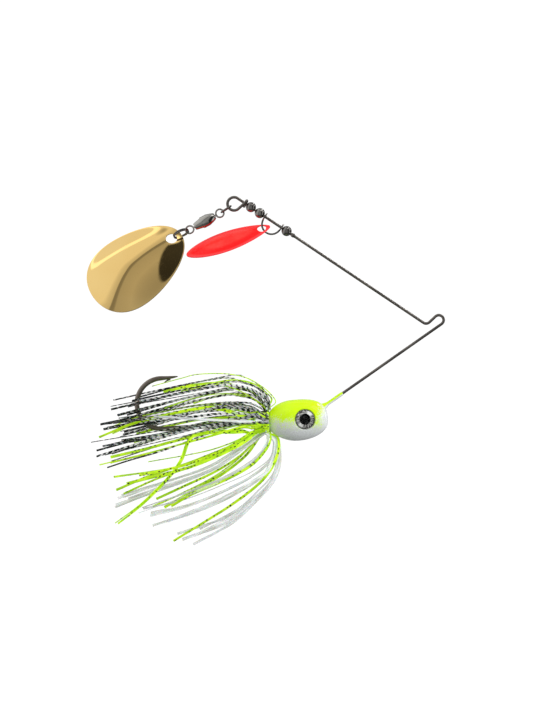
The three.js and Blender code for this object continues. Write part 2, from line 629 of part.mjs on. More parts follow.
// Split ring: two turns of wire, one on the other, threaded through the eye and the blade.
const splitHalf = SPLIT.wire / 2;
const splitBend = SPLIT.heading - BARREL.heading;
const splitPivot = V(lowerEyeReach, 0, 0).add(along(splitBend, EYELET.radius));
const splitLink = linkAt(lowerLink, splitPivot, splitBend);
const coilHeight = SPLIT.turns * SPLIT.wire;
const eyeInner = EYELET.radius - eyeWire;
const coilFit = EYELET.radius - Math.sqrt(eyeInner ** 2 - (coilHeight / 2) ** 2);
const splitSeat = coilFit + splitHalf + RUN;

function splitRingGeometry() {
  const steps = 20 * SPLIT.turns;
  const points = Array.from({ length: steps + 1 }, (_, i) => {
    const turn = (2 * Math.PI * SPLIT.turns * i) / steps + Math.PI / 2;
    const lift = ((i / steps - 0.5) * (coilHeight - SPLIT.wire) * SPLIT.turns) / (SPLIT.turns - 1);
    const level = THREE.MathUtils.clamp(lift * 1.15, -coilHeight / 2, coilHeight / 2);
    return V(SPLIT.radius * Math.cos(turn), SPLIT.radius * Math.sin(turn), level);
  });
  return sweep(points, () => [splitHalf * 0.96, splitHalf * 0.96], 8, V(0, 0, 1));
}
add(splitLink, "split_ring", "steel", splitRingGeometry()).position.x = SPLIT.radius - splitSeat;

// Rear blade: the ring's far side passes through its hole.
const rearBend = REAR_HEADING - SPLIT.heading;
const rearBlade = linkAt(splitLink, V(2 * SPLIT.radius - splitSeat, 0, 0), rearBend);
const rearInset = REAR_BLADE.hole - splitHalf - 0.5;
const drop = bladeGeometry(REAR_BLADE, dropHalf(REAR_BLADE), 0.56, 7, 40);
add(rearBlade, "rear_blade", "gold", drop).position.x = rearInset;

export default part;
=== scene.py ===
"""Looks, light and camera for the spinnerbait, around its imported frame.

Shapes are made in millimetres with +X towards the direction of pull and +Z up, from the origin at the
line tie, and Shell.build turns them into metres. The dimensions repeat those of the solids.
"""

import json
import math
import random

import bmesh
import bpy
from mathutils import Matrix, Vector


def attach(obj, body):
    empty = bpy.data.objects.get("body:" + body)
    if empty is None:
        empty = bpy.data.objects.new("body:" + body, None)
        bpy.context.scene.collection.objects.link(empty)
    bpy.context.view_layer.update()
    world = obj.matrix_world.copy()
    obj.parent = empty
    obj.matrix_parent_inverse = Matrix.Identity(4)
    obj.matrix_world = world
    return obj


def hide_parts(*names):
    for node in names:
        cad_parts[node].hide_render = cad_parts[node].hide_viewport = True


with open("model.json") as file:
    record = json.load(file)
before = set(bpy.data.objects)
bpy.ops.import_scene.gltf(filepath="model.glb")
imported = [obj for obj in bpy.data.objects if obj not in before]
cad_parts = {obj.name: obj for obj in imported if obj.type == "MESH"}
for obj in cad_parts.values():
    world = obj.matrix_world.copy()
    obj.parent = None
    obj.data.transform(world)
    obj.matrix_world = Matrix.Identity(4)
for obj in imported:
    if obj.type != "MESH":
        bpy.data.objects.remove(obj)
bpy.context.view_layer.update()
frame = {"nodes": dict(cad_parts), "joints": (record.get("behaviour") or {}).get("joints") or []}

# ---- Dimensions, in millimetres and degrees --------------------------------------
WIRE_RADIUS = 0.445
TIE_RADIUS, KNEE_RADIUS, KNEE_RUN, KNEE_HEADING = 1.5, 1.5, 2.57, 223.3
LOWER_HEADING, LOWER_LENGTH = 215, 42.9
UPPER_HEADING, UPPER_LENGTH = 146.2, 66.6
LOOP_RADIUS, LOOP_HALF_ANGLE = 2.05, 37.8
WRAP_TURN, WRAP_ADVANCE = 270, 0.35
RUN, PLAY, CAST = 0.08, 0.1, 0.04

HEAD_LENGTH, HEAD_HEIGHT, HEAD_WIDTH = 19.1, 12.8, 9.9
HEAD_TILT, HEAD_BACKSET, HEAD_DROP = 3.8, 9.6, 5.2
HEAD_FULLNESS = {"top_front": 2.8, "bottom_front": 2.1, "top_rear": 2.15, "bottom_rear": 1.85}
SLEEVE_LENGTH, SLEEVE_ROOT, SLEEVE_RADIUS = 5.5, 1.9, 0.6
SLEEVE_MARK = 2.0
EYE_RADIUS, EYE_FORWARD, EYE_UP, EYE_INSET = 3.05, 2.4, 0.2, 1.15
PUPIL_RADIUS, FOIL, DOME = 1.65, 0.14, 1.4

HOOK_RADIUS, HOOK_BEND, HOOK_SHANK, HOOK_POINT = 0.7, 7.87, 41.4, 5.5
KEEPER_RADIUS, KEEPER_LENGTH, KEEPER_SEAT, KEEPER_LIP = 1.8, 5.8, 0.9, 0.9
BAND_LENGTH, BAND_WALL = 3.6, 0.9

BEAD_RADIUS = 1.6
STOP_LENGTH, STOP_RADIUS, STOP_END_RADIUS = 1.3, 0.68, 0.46
CLEVIS_LENGTH, CLEVIS_DEPTH, CLEVIS_THICK, CLEVIS_WIDTH, EYELET_RADIUS = 6.6, 3.9, 0.45, 0.62, 1.3
LEAF = {"length": 27.4, "width": 8.2, "cup": 1.3, "thick": 0.45, "hole": 1.4, "tip": 2.7, "belly": 0.5}
LEAF_HEADING, LEAF_ROLL, LEAF_STATION, LEAF_SLACK = 199.2, 42, 0.31, 0.85
DROP = {"length": 33.6, "width": 23.2, "cup": 4.6, "thick": 0.5, "hole": 1.7, "tip": 3.3, "belly": 0.56}
DROP_HEADING, DROP_SLACK = 217.5, 0.5
RING_WIRE, RING_RADIUS, RING_HEADING = 0.3, 1.75, 214
EYE_WIRE, EYELET, NECK, SHANK_INSIDE = 0.28, 1.25, 0.45, 1.3
BARREL_LENGTH, BARREL_RADIUS, BARREL_MOUTH, BARREL_HEADING = 7.2, 1.85, 1.0, 208.6
SPLIT_WIRE, SPLIT_RADIUS, SPLIT_HEADING, SPLIT_ROLL = 0.23, 2.4, 204, 20

SKIRT_SEED = 11
STRAND_THICKNESS = 0.28
STRAND_WIDTH = {"barred": 0.75, "chartreuse": 0.9, "white": 1.05}
LOOSENESS = {"barred": 1.7, "chartreuse": 1.25, "white": 1.2}
LONE_LOOSENESS = 0.3
# A strand's v mark is its number times this, plus the millimetres across it.
STRAND_STEP = 10.0


# ---- Placing ---------------------------------------------------------------------
def V(x, y, z):
    return Vector((x, y, z))


def along(degrees, reach=1.0):
    a = math.radians(degrees)
    return V(math.cos(a) * reach, 0, math.sin(a) * reach)


def link(parent, point, heading, roll=0.0):
    """A frame at a point, whose +X has the given heading in the plane of the wire form."""
    turn = Matrix.Rotation(-math.radians(heading), 4, "Y") @ Matrix.Rotation(math.radians(roll), 4, "X")
    return parent @ Matrix.Translation(point) @ turn


def mix(a, b, t):
    return a + (b - a) * t


def smooth(t):
    t = min(1.0, max(0.0, t))
    return t * t * (3 - 2 * t)


# ---- Shells: closed skins of points, faces and (u, v) marks ----------------------
class Shell:
    def __init__(self):
        self.points, self.marks, self.faces = [], [], []

    def add(self, rings, marks=None, wrap=False):
        """A skin through rings of points: wrap joins the last to the first, or else both are capped."""
        base, sides = len(self.points), len(rings[0])
        for i, ring in enumerate(rings):
            self.points += ring
            self.marks += marks[i] if marks else [(i / len(rings), j / sides) for j in range(sides)]
        count = len(rings)
        for i in range(count if wrap else count - 1):
            a, b = base + i * sides, base + ((i + 1) % count) * sides
            for j in range(sides):
                k = (j + 1) % sides
                self.faces.append((a + j, a + k, b + k, b + j))
        if not wrap:
            self.faces.append(tuple(base + j for j in reversed(range(sides))))
            self.faces.append(tuple(base + (count - 1) * sides + j for j in range(sides)))
        return self

    def moved(self, matrix):
        self.points = [matrix @ p for p in self.points]
        return self

    def build(self, name, material, body, nodes, sharp=40):
        mesh = bpy.data.meshes.new(name)
        mesh.from_pydata([p * 0.001 for p in self.points], [], self.faces)
        layer = mesh.uv_layers.new(name="marks")
        for loop in mesh.loops:
            layer.data[loop.index].uv = self.marks[loop.vertex_index]
        mesh.polygons.foreach_set("use_smooth", [True] * len(mesh.polygons))
        mesh.set_sharp_from_angle(angle=math.radians(sharp))
        mesh.materials.append(material)
        piece = bpy.data.objects.new(name, mesh)
        bpy.context.scene.collection.objects.link(piece)
        bpy.context.view_layer.update()
        recalculate_outside(mesh)
        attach(piece, body)
        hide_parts(*nodes)
        return piece


def recalculate_outside(mesh):
    work = bmesh.new()
    work.from_mesh(mesh)
    bmesh.ops.recalc_face_normals(work, faces=work.faces)
    work.to_mesh(mesh)
    work.free()


def sweep(points, size, sides=16, up=None, twist=lambda share: 0.0):
    """Sweeps an oval along points. size(share, reach) gives its two half-sizes, the second along up."""
    up = up or V(0, 1, 0)
    reach = [0.0]
    for a, b in zip(points, points[1:]):
        reach.append(reach[-1] + (b - a).length)
    first = (points[1] - points[0]).normalized()
    normal = V(0, 0, 1) if abs(first.dot(up)) > 0.9 else up.copy()
    rings, marks = [], []
    for i, p in enumerate(points):
        tangent = (points[min(i + 1, len(points) - 1)] - points[max(i - 1, 0)]).normalized()
        normal = (normal - tangent * normal.dot(tangent)).normalized()
        spun = Matrix.Rotation(twist(reach[i] / reach[-1]), 3, tangent) @ normal
        side = tangent.cross(spun)
        wide, thick = size(reach[i] / reach[-1], reach[i])
        turns = [2 * math.pi * (j + 0.5) / sides for j in range(sides)]
        rings.append([p + side * (-wide * math.cos(t)) + spun * (thick * math.sin(t)) for t in turns])
        marks.append([(reach[i], wide * math.cos(t)) for t in turns])
    return rings, marks


def round_wire(points, radius, sides=16):
    return sweep(points, lambda share, reach: (radius, radius), sides)


def turned(profile, axis="x", around=48):
    """Rings of (radius, place along the axis) turned about the axis, marked by turn and radius."""
    rings, marks = [], []
    turns = [2 * math.pi * i / around for i in range(around)]
    for r, x in profile:
        flat = [(r * math.cos(a), r * math.sin(a)) for a in turns]
        rings.append([V(*{"x": (x, c, s), "y": (c, x, s), "z": (c, s, x)}[axis]) for c, s in flat])
        marks.append([(a / (2 * math.pi), r) for a in turns])
    return rings, marks


def lathe(profile, axis="x", around=48):
    """Slices of a closed profile turned about the axis, to be wrapped."""
    return list(zip(*turned(profile, axis, around)[0]))


def torus(radius, tube, axis="z", around=64, sides=16):
    turns = [2 * math.pi * j / sides for j in range(sides)]
    return lathe([(radius + tube * math.cos(b), tube * math.sin(b)) for b in turns], axis, around)


class Bender:
    """Bends wire in straight runs and arcs. A positive angle is anticlockwise from the front."""

    def __init__(self, start, direction, step=4):
        self.points, self.direction, self.step = [start.copy()], direction.normalized(), step

    def run(self, length):
        self.points.append(self.points[-1] + self.direction * length)
        return self

    def bend(self, radius, degrees):
        axis = V(0, -1, 0)
        start = self.points[-1]
        to_centre = axis.cross(self.direction) * (radius * math.copysign(1, degrees))
        count = max(2, math.ceil(abs(degrees) / self.step))
        for i in range(1, count + 1):
            turn = Matrix.Rotation(math.radians(degrees) * i / count, 3, axis)
            self.points.append(start + to_centre - turn @ to_centre)
        self.direction = Matrix.Rotation(math.radians(degrees), 3, axis) @ self.direction
        return self


def curve_through(points, count):
    """A smooth curve through points: Catmull-Rom, with count points on each span."""
    ends = [points[0] * 2 - points[1], *points, points[-1] * 2 - points[-2]]
    out = []
    for a, b, c, d in zip(ends, ends[1:], ends[2:], ends[3:]):
        for i in range(count):
            t = i / count
            bow, turn = 2 * a - 5 * b + 4 * c - d, 3 * b - a - 3 * c + d
            out.append(0.5 * (2 * b + (c - a) * t + bow * t**2 + turn * t**3))
    return out + [points[-1].copy()]


# ---- Materials -------------------------------------------------------------------
class Nodes:
    """A node tree, with short calls for the nodes that are made in it."""

    def __init__(self, tree):
        self.tree = tree
        self.place = self.node("ShaderNodeTexCoord")

    def node(self, kind, **settings):
        made = self.tree.nodes.new(kind)
        for key, value in settings.items():
            setattr(made, key, value)
        return made

    def link(self, out, into):
        self.tree.links.new(out, into)

    def math(self, operation, a, b=None, c=None):
        made = self.node("ShaderNodeMath", operation=operation)
        for i, value in enumerate(v for v in (a, b, c) if v is not None):
            if isinstance(value, (int, float)):
                made.inputs[i].default_value = value
            else:
                self.link(value, made.inputs[i])
        return made.outputs[0]

    def times(self, first, *others):
        for other in others:
            first = self.math("MULTIPLY", first, other)
        return first

    def ramp(self, value, low, high, to_low=0.0, to_high=1.0):
        made = self.node("ShaderNodeMapRange", interpolation_type="SMOOTHSTEP")
        for key, v in (("From Min", low), ("From Max", high), ("To Min", to_low), ("To Max", to_high)):
            made.inputs[key].default_value = v
        self.link(value, made.inputs["Value"])
        return made.outputs["Result"]

    def split(self, out):
        made = self.node("ShaderNodeSeparateXYZ")
        self.link(out, made.inputs[0])
        return made.outputs

    def join(self, *parts):
        made = self.node("ShaderNodeCombineXYZ")
        for out, into in zip(parts, made.inputs):
            self.link(out, into)
        return made.outputs[0]


class Look(Nodes):
    """A material made of a principled shader and what feeds it."""

    def __init__(self, name, **settings):
        self.material = bpy.data.materials.new(name)
        self.material.use_nodes = True
        super().__init__(self.material.node_tree)
        self.shader = self.tree.nodes["Principled BSDF"]
        for key, value in settings.items():
            self.shader.inputs[key.replace("_", " ").title().replace("Ior", "IOR")].default_value = value

    def feed(self, out, *names):
        for name in names:
            self.link(out, self.shader.inputs[name])

    def noise(self, scale, detail=3.0, vector=None):
        made = self.node("ShaderNodeTexNoise")
        made.inputs["Scale"].default_value = scale
        made.inputs["Detail"].default_value = detail
        self.link(vector or self.place.outputs["Object"], made.inputs["Vector"])
        return made.outputs["Fac"]

    def blend(self, factor, a, b):
        made = self.node("ShaderNodeMix", data_type="RGBA")
        self.link(factor, made.inputs["Factor"])
        for key, value in (("A", a), ("B", b)):
            slot = next(s for s in made.inputs if s.name == key and s.type == "RGBA")
            if isinstance(value, tuple):
                slot.default_value = (*value, 1)
            else:
                self.link(value, slot)
        return next(s for s in made.outputs if s.type == "RGBA")

    def bump(self, height, strength, distance):
        made = self.node("ShaderNodeBump")
        made.inputs["Strength"].default_value = strength
        made.inputs["Distance"].default_value = distance
        self.link(height, made.inputs["Height"])
        self.feed(made.outputs["Normal"], "Normal")


def metal(name, bright, dull, roughness, patch=140.0):
    """Polished or drawn metal: its tarnish comes and goes over several millimetres, with a fine grain."""
    look = Look(name, metallic=1.0)
    look.feed(look.blend(look.ramp(look.noise(patch, 2), 0.35, 0.7), bright, dull), "Base Color")
    look.feed(look.ramp(look.noise(patch * 3), 0.3, 0.75, roughness * 0.8, roughness * 1.3), "Roughness")
    look.bump(look.noise(patch * 8, 2), 0.02, 0.00001)
    return look.material


def gold_mirror():
    look = Look("blade_gold", metallic=1.0)
    tone = look.ramp(look.noise(60, 2), 0.3, 0.7)
    look.feed(look.blend(tone, (0.89, 0.63, 0.245), (0.86, 0.59, 0.215)), "Base Color")
    look.feed(look.ramp(look.noise(500, 4), 0.4, 0.8, 0.04, 0.10), "Roughness")
    look.bump(look.noise(140, 2), 0.12, 0.0002)
    return look.material


def red_paint():
    """Fluorescent red, with painted shade deepest in a ring just inside the rim and a paler painted
    highlight at the rim itself.
    """
    # The emission is a painted glow that stands in for the paint's fluorescence.
    look = Look("blade_red", coat_weight=0.15, coat_roughness=0.1, roughness=0.4,
                specular_ior_level=0.25, emission_strength=0.30)
    marks = look.split(look.place.outputs["UV"])
    blotch = look.ramp(look.noise(160, 3), 0.35, 0.65)
    body = look.blend(blotch, (0.90, 0.016, 0.012), (0.96, 0.034, 0.026))
    # Painted shade: a deeper red ring just inside the rim. Painted highlight: a paler red at the rim
    # itself.
    ring = look.times(look.ramp(marks[1], 0.50, 0.72), look.ramp(marks[1], 0.84, 0.96, 1.0, 0.0))
    rim = look.ramp(marks[1], 0.88, 0.99)
    colour = look.blend(rim, look.blend(ring, body, (0.92, 0.002, 0.003)), (0.98, 0.04, 0.05))
    look.feed(colour, "Base Color", "Emission Color")
    look.bump(look.noise(900, 2), 0.05, 0.00005)
    return look.material


def head_paint():
    """Chartreuse sprayed over pearl white: the spray breaks into specks low on the sides and at the nose.

    On the sleeve of paint along the wire, where u is SLEEVE_MARK, v says how far round from the underside
    a point is, and the spray covers the upper half.
    """
    look = Look("head_paint", coat_weight=0.4, coat_roughness=0.04, specular_ior_level=0.15)
    x, _, z = look.split(look.place.outputs["Object"])
    low = look.math("MULTIPLY_ADD", z, 340.0, 10.9)
    nose = look.math("MULTIPLY_ADD", z, 120.0, look.math("MULTIPLY_ADD", x, -480.0, -14.1))
    spray = look.math("MINIMUM", look.math("MINIMUM", low, nose), 3.0)
    specks = look.math("MULTIPLY_ADD", look.noise(2900, 3), 3.4, -1.7)
    cloud = look.math("MULTIPLY_ADD", look.noise(420, 2), 1.6, -0.8)
    sprayed = look.ramp(look.math("ADD", look.math("ADD", spray, specks), cloud), -0.7, 0.7)
    marks = look.split(look.place.outputs["UV"])
    on_sleeve = look.math("GREATER_THAN", marks[0], SLEEVE_MARK - 0.5)
    upper = look.ramp(marks[1], -0.45, 0.0)
    cover = look.node("ShaderNodeMix", data_type="FLOAT")
    look.link(on_sleeve, cover.inputs[0])
    look.link(sprayed, cover.inputs[2])
    look.link(upper, cover.inputs[3])
    cover = cover.outputs[0]
    pearl = look.blend(look.ramp(look.noise(2600, 2), 0.3, 0.7), (0.80, 0.84, 0.84), (0.68, 0.71, 0.70))
    green = look.blend(look.ramp(look.noise(3000, 2), 0.35, 0.7), (0.60, 0.90, 0.0), (0.54, 0.82, 0.0))
    colour = look.blend(cover, pearl, green)
    look.feed(colour, "Base Color", "Emission Color")
    # The chartreuse glows a little: a painted glow that stands in for its fluorescence.
    look.feed(look.ramp(cover, 0.0, 1.0, 0.0, 0.14), "Emission Strength")
    look.feed(look.ramp(look.noise(3000, 3), 0.3, 0.7, 0.24, 0.36), "Roughness")
    look.bump(look.noise(700, 3), 0.12, 0.0001)
    return look.material


def foil():
    """Stamped foil: fine rays from a dark rim to the pupil, and painted highlights as bright patches on two
    opposite sides.
    """
    look = Look("eye_foil", metallic=1.0)
    turn, radius, _ = look.split(look.place.outputs["UV"])
    rays = look.noise(1.0, 3, look.join(look.times(turn, 60.0), radius))
    tint = look.blend(look.ramp(rays, 0.4, 0.62), (0.07, 0.068, 0.062), (0.62, 0.61, 0.59))
    # Painted highlights: two bright patches on opposite sides, set by the turn round the eye rather than by
    # a lamp.
    painted_highlight_lobes = look.math("COSINE", look.math("MULTIPLY_ADD", turn, 4 * math.pi, 1.7))
    tint = look.blend(look.ramp(painted_highlight_lobes, 0.55, 0.95), tint, (0.95, 0.95, 0.92))
    rim = look.ramp(radius, EYE_RADIUS - 0.6, EYE_RADIUS - 0.15)
    look.feed(look.blend(rim, tint, (0.10, 0.10, 0.09)), "Base Color")
    look.feed(look.ramp(rays, 0.3, 0.7, 0.22, 0.42), "Roughness")
    return look.material


def plain_gloss(name, colour, other, roughness, specular=0.5):
    look = Look(name, specular_ior_level=specular)
    look.feed(look.blend(look.ramp(look.noise(1200, 3), 0.35, 0.65), colour, other), "Base Color")
    look.feed(look.ramp(look.noise(2400, 3), 0.3, 0.7, roughness * 0.8, roughness * 1.2), "Roughness")
    return look.material


def clear_dome():
    look = Look("eye_dome", ior=1.15, transmission_weight=1.0)
    look.feed(look.blend(look.noise(300, 1), (0.96, 0.98, 0.98), (1.0, 1.0, 1.0)), "Base Color")
    look.feed(look.ramp(look.noise(800, 2), 0.4, 0.8, 0.0, 0.04), "Roughness")
    return look.material


def strand_marks(look):
    """What a strand's u and v say: millimetres to its tip, millimetres across it, and its number."""
    u, v, _ = look.split(look.place.outputs["UV"])
    number = look.math("ROUND", look.math("DIVIDE", v, STRAND_STEP))
    across = look.math("MULTIPLY_ADD", number, -STRAND_STEP, v)
    return u, across, number


def strand_vector(look, along_scale, across_scale):
    u, across, number = strand_marks(look)
    return look.join(look.times(u, along_scale), look.times(across, across_scale), look.times(number, 3.7))


def silicone(name, **settings):
    """Soft moulded rubber: a little light passes through, and the surface is finely uneven."""
    look = Look(name, specular_ior_level=0.25, subsurface_weight=0.15, subsurface_scale=0.0006, **settings)
    look.feed(look.ramp(look.noise(1500, 2), 0.3, 0.7, 0.28, 0.45), "Roughness")
    look.bump(look.noise(2500, 3), 0.1, 0.00005)
    return look


def barred_silicone():
    """Clear strands with slanted black bars, printed unevenly, and black towards their tips."""
    look = silicone("skirt_barred")
    to_tip, across, number = strand_marks(look)
    vector = strand_vector(look, 0.45, 1.2)
    slant = look.math("MULTIPLY_ADD", across, 0.9, look.math("MULTIPLY_ADD", number, 0.73, to_tip))
    wander = look.times(look.noise(1.0, 2, vector), 2.6)
    wave = look.math("FRACT", look.times(look.math("ADD", slant, wander), 0.52))
    thick = look.ramp(look.noise(0.22, 1, vector), 0.38, 0.62, 0.34, 0.10)
    near_tip = look.ramp(to_tip, 6.0, 15.0, 0.22, 0.0)
    edge = look.math("SUBTRACT", look.math("SUBTRACT", look.math("PINGPONG", wave, 0.5), thick), 0.02)
    bar = look.ramp(look.math("ADD", edge, near_tip), -0.02, 0.05)
    broken = look.ramp(look.noise(3.2, 3, vector), 0.60, 0.68, 1.0, 0.35)
    ink = look.times(bar, broken)
    look.feed(look.blend(ink, (0.86, 0.89, 0.87), (0.005, 0.009, 0.009)), "Base Color")
    look.feed(look.ramp(ink, 0.0, 1.0, 0.40, 1.0), "Alpha")
    return look.material


def chartreuse_silicone():
    """Chartreuse strands with a few black flecks, and a painted glow (emission) that stands in for their
    fluorescence.
    """
    look = silicone("skirt_chartreuse", emission_strength=0.22, alpha=0.92)
    vector = strand_vector(look, 0.8, 1.6)
    to_tip, across, number = strand_marks(look)
    along = look.math("MULTIPLY_ADD", number, 17.3, look.times(to_tip, 0.8))
    cells = look.node("ShaderNodeTexVoronoi", voronoi_dimensions="2D")
    cells.inputs["Scale"].default_value = 1.0
    look.link(look.join(along, look.times(across, 1.6)), cells.inputs["Vector"])
    chance = look.ramp(look.split(cells.outputs["Color"])[0], 0.66, 0.70)
    fleck = look.times(look.ramp(cells.outputs["Distance"], 0.24, 0.34, 1.0, 0.0), chance)
    tone = look.ramp(look.noise(0.35, 2, vector), 0.35, 0.65)
    body = look.blend(tone, (0.36, 0.66, 0.004), (0.60, 0.90, 0.02))
    colour = look.blend(fleck, body, (0.02, 0.03, 0.02))
    look.feed(colour, "Base Color", "Emission Color")
    return look.material


def white_silicone():
    """Pearl strands, partly clear, streaked lengthways with grey and a hint of green, with a faint painted
    glow (emission) that brightens them.
    """
    look = silicone("skirt_white", emission_strength=0.10)
    vector = strand_vector(look, 0.16, 1.6)
    tone = look.ramp(look.noise(1.4, 2, vector), 0.3, 0.7)
    cool = look.ramp(look.noise(0.5, 1, vector), 0.4, 0.6)
    grey = look.blend(cool, (0.56, 0.58, 0.48), (0.64, 0.69, 0.71))
    colour = look.blend(tone, grey, (0.95, 0.98, 0.99))
    look.feed(colour, "Base Color", "Emission Color")
    look.feed(look.ramp(look.noise(0.9, 2, vector), 0.3, 0.7, 0.40, 0.85), "Alpha")
    return look.material


WIRE_STEEL = metal("wire_steel", (0.22, 0.20, 0.18), (0.13, 0.12, 0.11), 0.30)
HOOK_STEEL = metal("hook_steel", (0.27, 0.235, 0.205), (0.18, 0.155, 0.13), 0.34)
FITTING_STEEL = metal("fitting_steel", (0.24, 0.225, 0.21), (0.13, 0.12, 0.11), 0.20)
NICKEL = metal("swivel_nickel", (0.42, 0.41, 0.38), (0.22, 0.21, 0.20), 0.14)
BEAD_NICKEL = metal("bead_nickel", (0.30, 0.29, 0.27), (0.18, 0.17, 0.16), 0.07)
GOLD = gold_mirror()
RED = red_paint()
HEAD_PAINT = head_paint()
FOIL_LOOK = foil()
PUPIL_INK = plain_gloss("eye_pupil", (0.002, 0.003, 0.003), (0.005, 0.005, 0.005), 0.5, 0.05)
DOME_LOOK = clear_dome()
BAND_RUBBER = plain_gloss("band_rubber", (0.55, 0.80, 0.02), (0.42, 0.66, 0.02), 0.5)
BARRED = barred_silicone()
CHARTREUSE = chartreuse_silicone()
WHITE = white_silicone()

# ---- Frames along the lure -------------------------------------------------------
WORLD = Matrix.Identity(4)
lower_start = -along(LOWER_HEADING - 90, TIE_RADIUS)
nose_exit = lower_start + along(LOWER_HEADING, LOWER_LENGTH)
lure = link(WORLD, nose_exit - V(HEAD_BACKSET, 0, HEAD_DROP), HEAD_TILT)


def wire_path():
    tie = Bender(lower_start, along(LOWER_HEADING + 180))
    tie.bend(TIE_RADIUS, KNEE_HEADING + 180 - LOWER_HEADING).run(KNEE_RUN)
    tie.bend(KNEE_RADIUS, UPPER_HEADING - KNEE_HEADING).run(UPPER_LENGTH)
    crossing = tie.points[-1].copy()
    drift = 2 * WIRE_RADIUS + RUN
    leg = LOOP_RADIUS / math.tan(math.radians(LOOP_HALF_ANGLE))
    loop = Bender(crossing, along(UPPER_HEADING))
    loop.run(leg).bend(LOOP_RADIUS, 180 + 2 * LOOP_HALF_ANGLE).run(leg)
    loop = loop.points[1:]
    lengths = [0.0]
    for a, b in zip([crossing, *loop], loop):
        lengths.append(lengths[-1] + (b - a).length)
    for point, reach in zip(loop, lengths[1:]):
        point.y = -drift * reach / lengths[-1]
    back = -along(UPPER_HEADING)
    wrap = []
    for i in range(1, 41):
        turn = Matrix.Rotation(-math.radians(WRAP_TURN) * i / 40, 3, back)
        wrap.append(crossing + turn @ V(0, -drift, 0) + back * (WRAP_ADVANCE * i / 40))
    inner = nose_exit + along(LOWER_HEADING, 3)
    return [inner, nose_exit, *tie.points, *loop, *wrap], crossing


WIRE_POINTS, crossing = wire_path()
arm = link(WORLD, crossing, UPPER_HEADING + 180)


# ---- Wire form and hook ----------------------------------------------------------
def build_wire_form():
    shell = Shell()
    shell.add(*round_wire(WIRE_POINTS, WIRE_RADIUS, 20))
    drift = 2 * WIRE_RADIUS + RUN
    wrap_reach = math.sqrt((BEAD_RADIUS + WIRE_RADIUS + PLAY) ** 2 - drift**2)
    first = WRAP_ADVANCE + wrap_reach
    places = [first, first + 2 * BEAD_RADIUS + PLAY]
    clevis_start = places[1] + BEAD_RADIUS + PLAY
    places.append(clevis_start + CLEVIS_LENGTH + PLAY + BEAD_RADIUS)
    stop_at = places[2] + BEAD_RADIUS + PLAY
    bulge = [arm @ V(stop_at + STOP_LENGTH * i / 12, 0, 0) for i in range(13)]
    swell = STOP_RADIUS - STOP_END_RADIUS
    shell.add(*sweep(bulge, lambda s, r: (STOP_END_RADIUS + swell * math.sin(math.pi * s),) * 2, 20))
    shell.build("wire_form_drawn", WIRE_STEEL, "frame", ["wire_form"])
    return places, clevis_start


BEAD_PLACES, CLEVIS_START = build_wire_form()


def build_hook():
    """The forged hook: round wire, flattened a little round the bend, ground to a hollow point."""
    eye_x = HEAD_LENGTH * 0.1
    shank_end = eye_x - HOOK_SHANK - HEAD_LENGTH * 0.1
    start = 4 - HEAD_LENGTH / 2
    path = Bender(V(start, 0, 0), V(-1, 0, 0)).run(start - shank_end).bend(HOOK_BEND, -180)
    points, forward = path.points, path.direction
    tip = points[-1]
    for i in range(1, 15):
        t = i / 14
        points.append(tip + forward * (HOOK_POINT * t) + V(0, 0, 0.25 * t * t))
    total = sum((b - a).length for a, b in zip(points, points[1:]))

    def size(share, reach):
        left = min(1.0, max(0.0, (total - reach) / HOOK_POINT))
        r = HOOK_RADIUS * (0.05 + 0.95 * left**0.55)
        bend = smooth((reach - 26) / 6) * smooth((total - 4 - reach) / 5)
        return r * (1 + 0.10 * bend), r * (1 - 0.12 * bend)

    shell = Shell().add(*sweep(points, size, 20))
    top = 2 * HOOK_BEND
    barb = [V(shank_end + 3.0 - 2.6 * t, 0, top - 0.45 - 1.35 * t**1.4) for t in (0, 0.2, 0.4, 0.6, 0.8, 1)]
    shell.add(*sweep(barb, lambda s, r: (0.34 * (1 - s) + 0.03, 0.26 * (1 - s) + 0.03), 12))
    shell.moved(lure).build("hook_forged", HOOK_STEEL, "frame", ["hook"])


build_hook()


# ---- Head and eyes ---------------------------------------------------------------
def head_reach(d):
    front, top = smooth((1 + d.x) / 2), smooth((1 + d.z) / 2)
    full = HEAD_FULLNESS
    below = mix(full["bottom_rear"], full["bottom_front"], front)
    n = mix(below, mix(full["top_rear"], full["top_front"], front), top)
    across = math.hypot(2 * d.y / HEAD_WIDTH, 2 * d.z / HEAD_HEIGHT)
    return (abs(2 * d.x / HEAD_LENGTH) ** n + across**n) ** (-1 / n)


EYE_FLOOR = HEAD_WIDTH / 2 - EYE_INSET
SOCKET = EYE_RADIUS + PLAY


def pressed(p):
    """Presses the eye's seat into the head's skin."""
    away = math.hypot(p.x - EYE_FORWARD, p.z - EYE_UP)
    if abs(p.y) > EYE_FLOOR:
        floor = mix(EYE_FLOOR - 0.02, abs(p.y), smooth((away - SOCKET + 0.1) / 0.28))
        p.y = math.copysign(min(abs(p.y), floor), p.y)
    return p


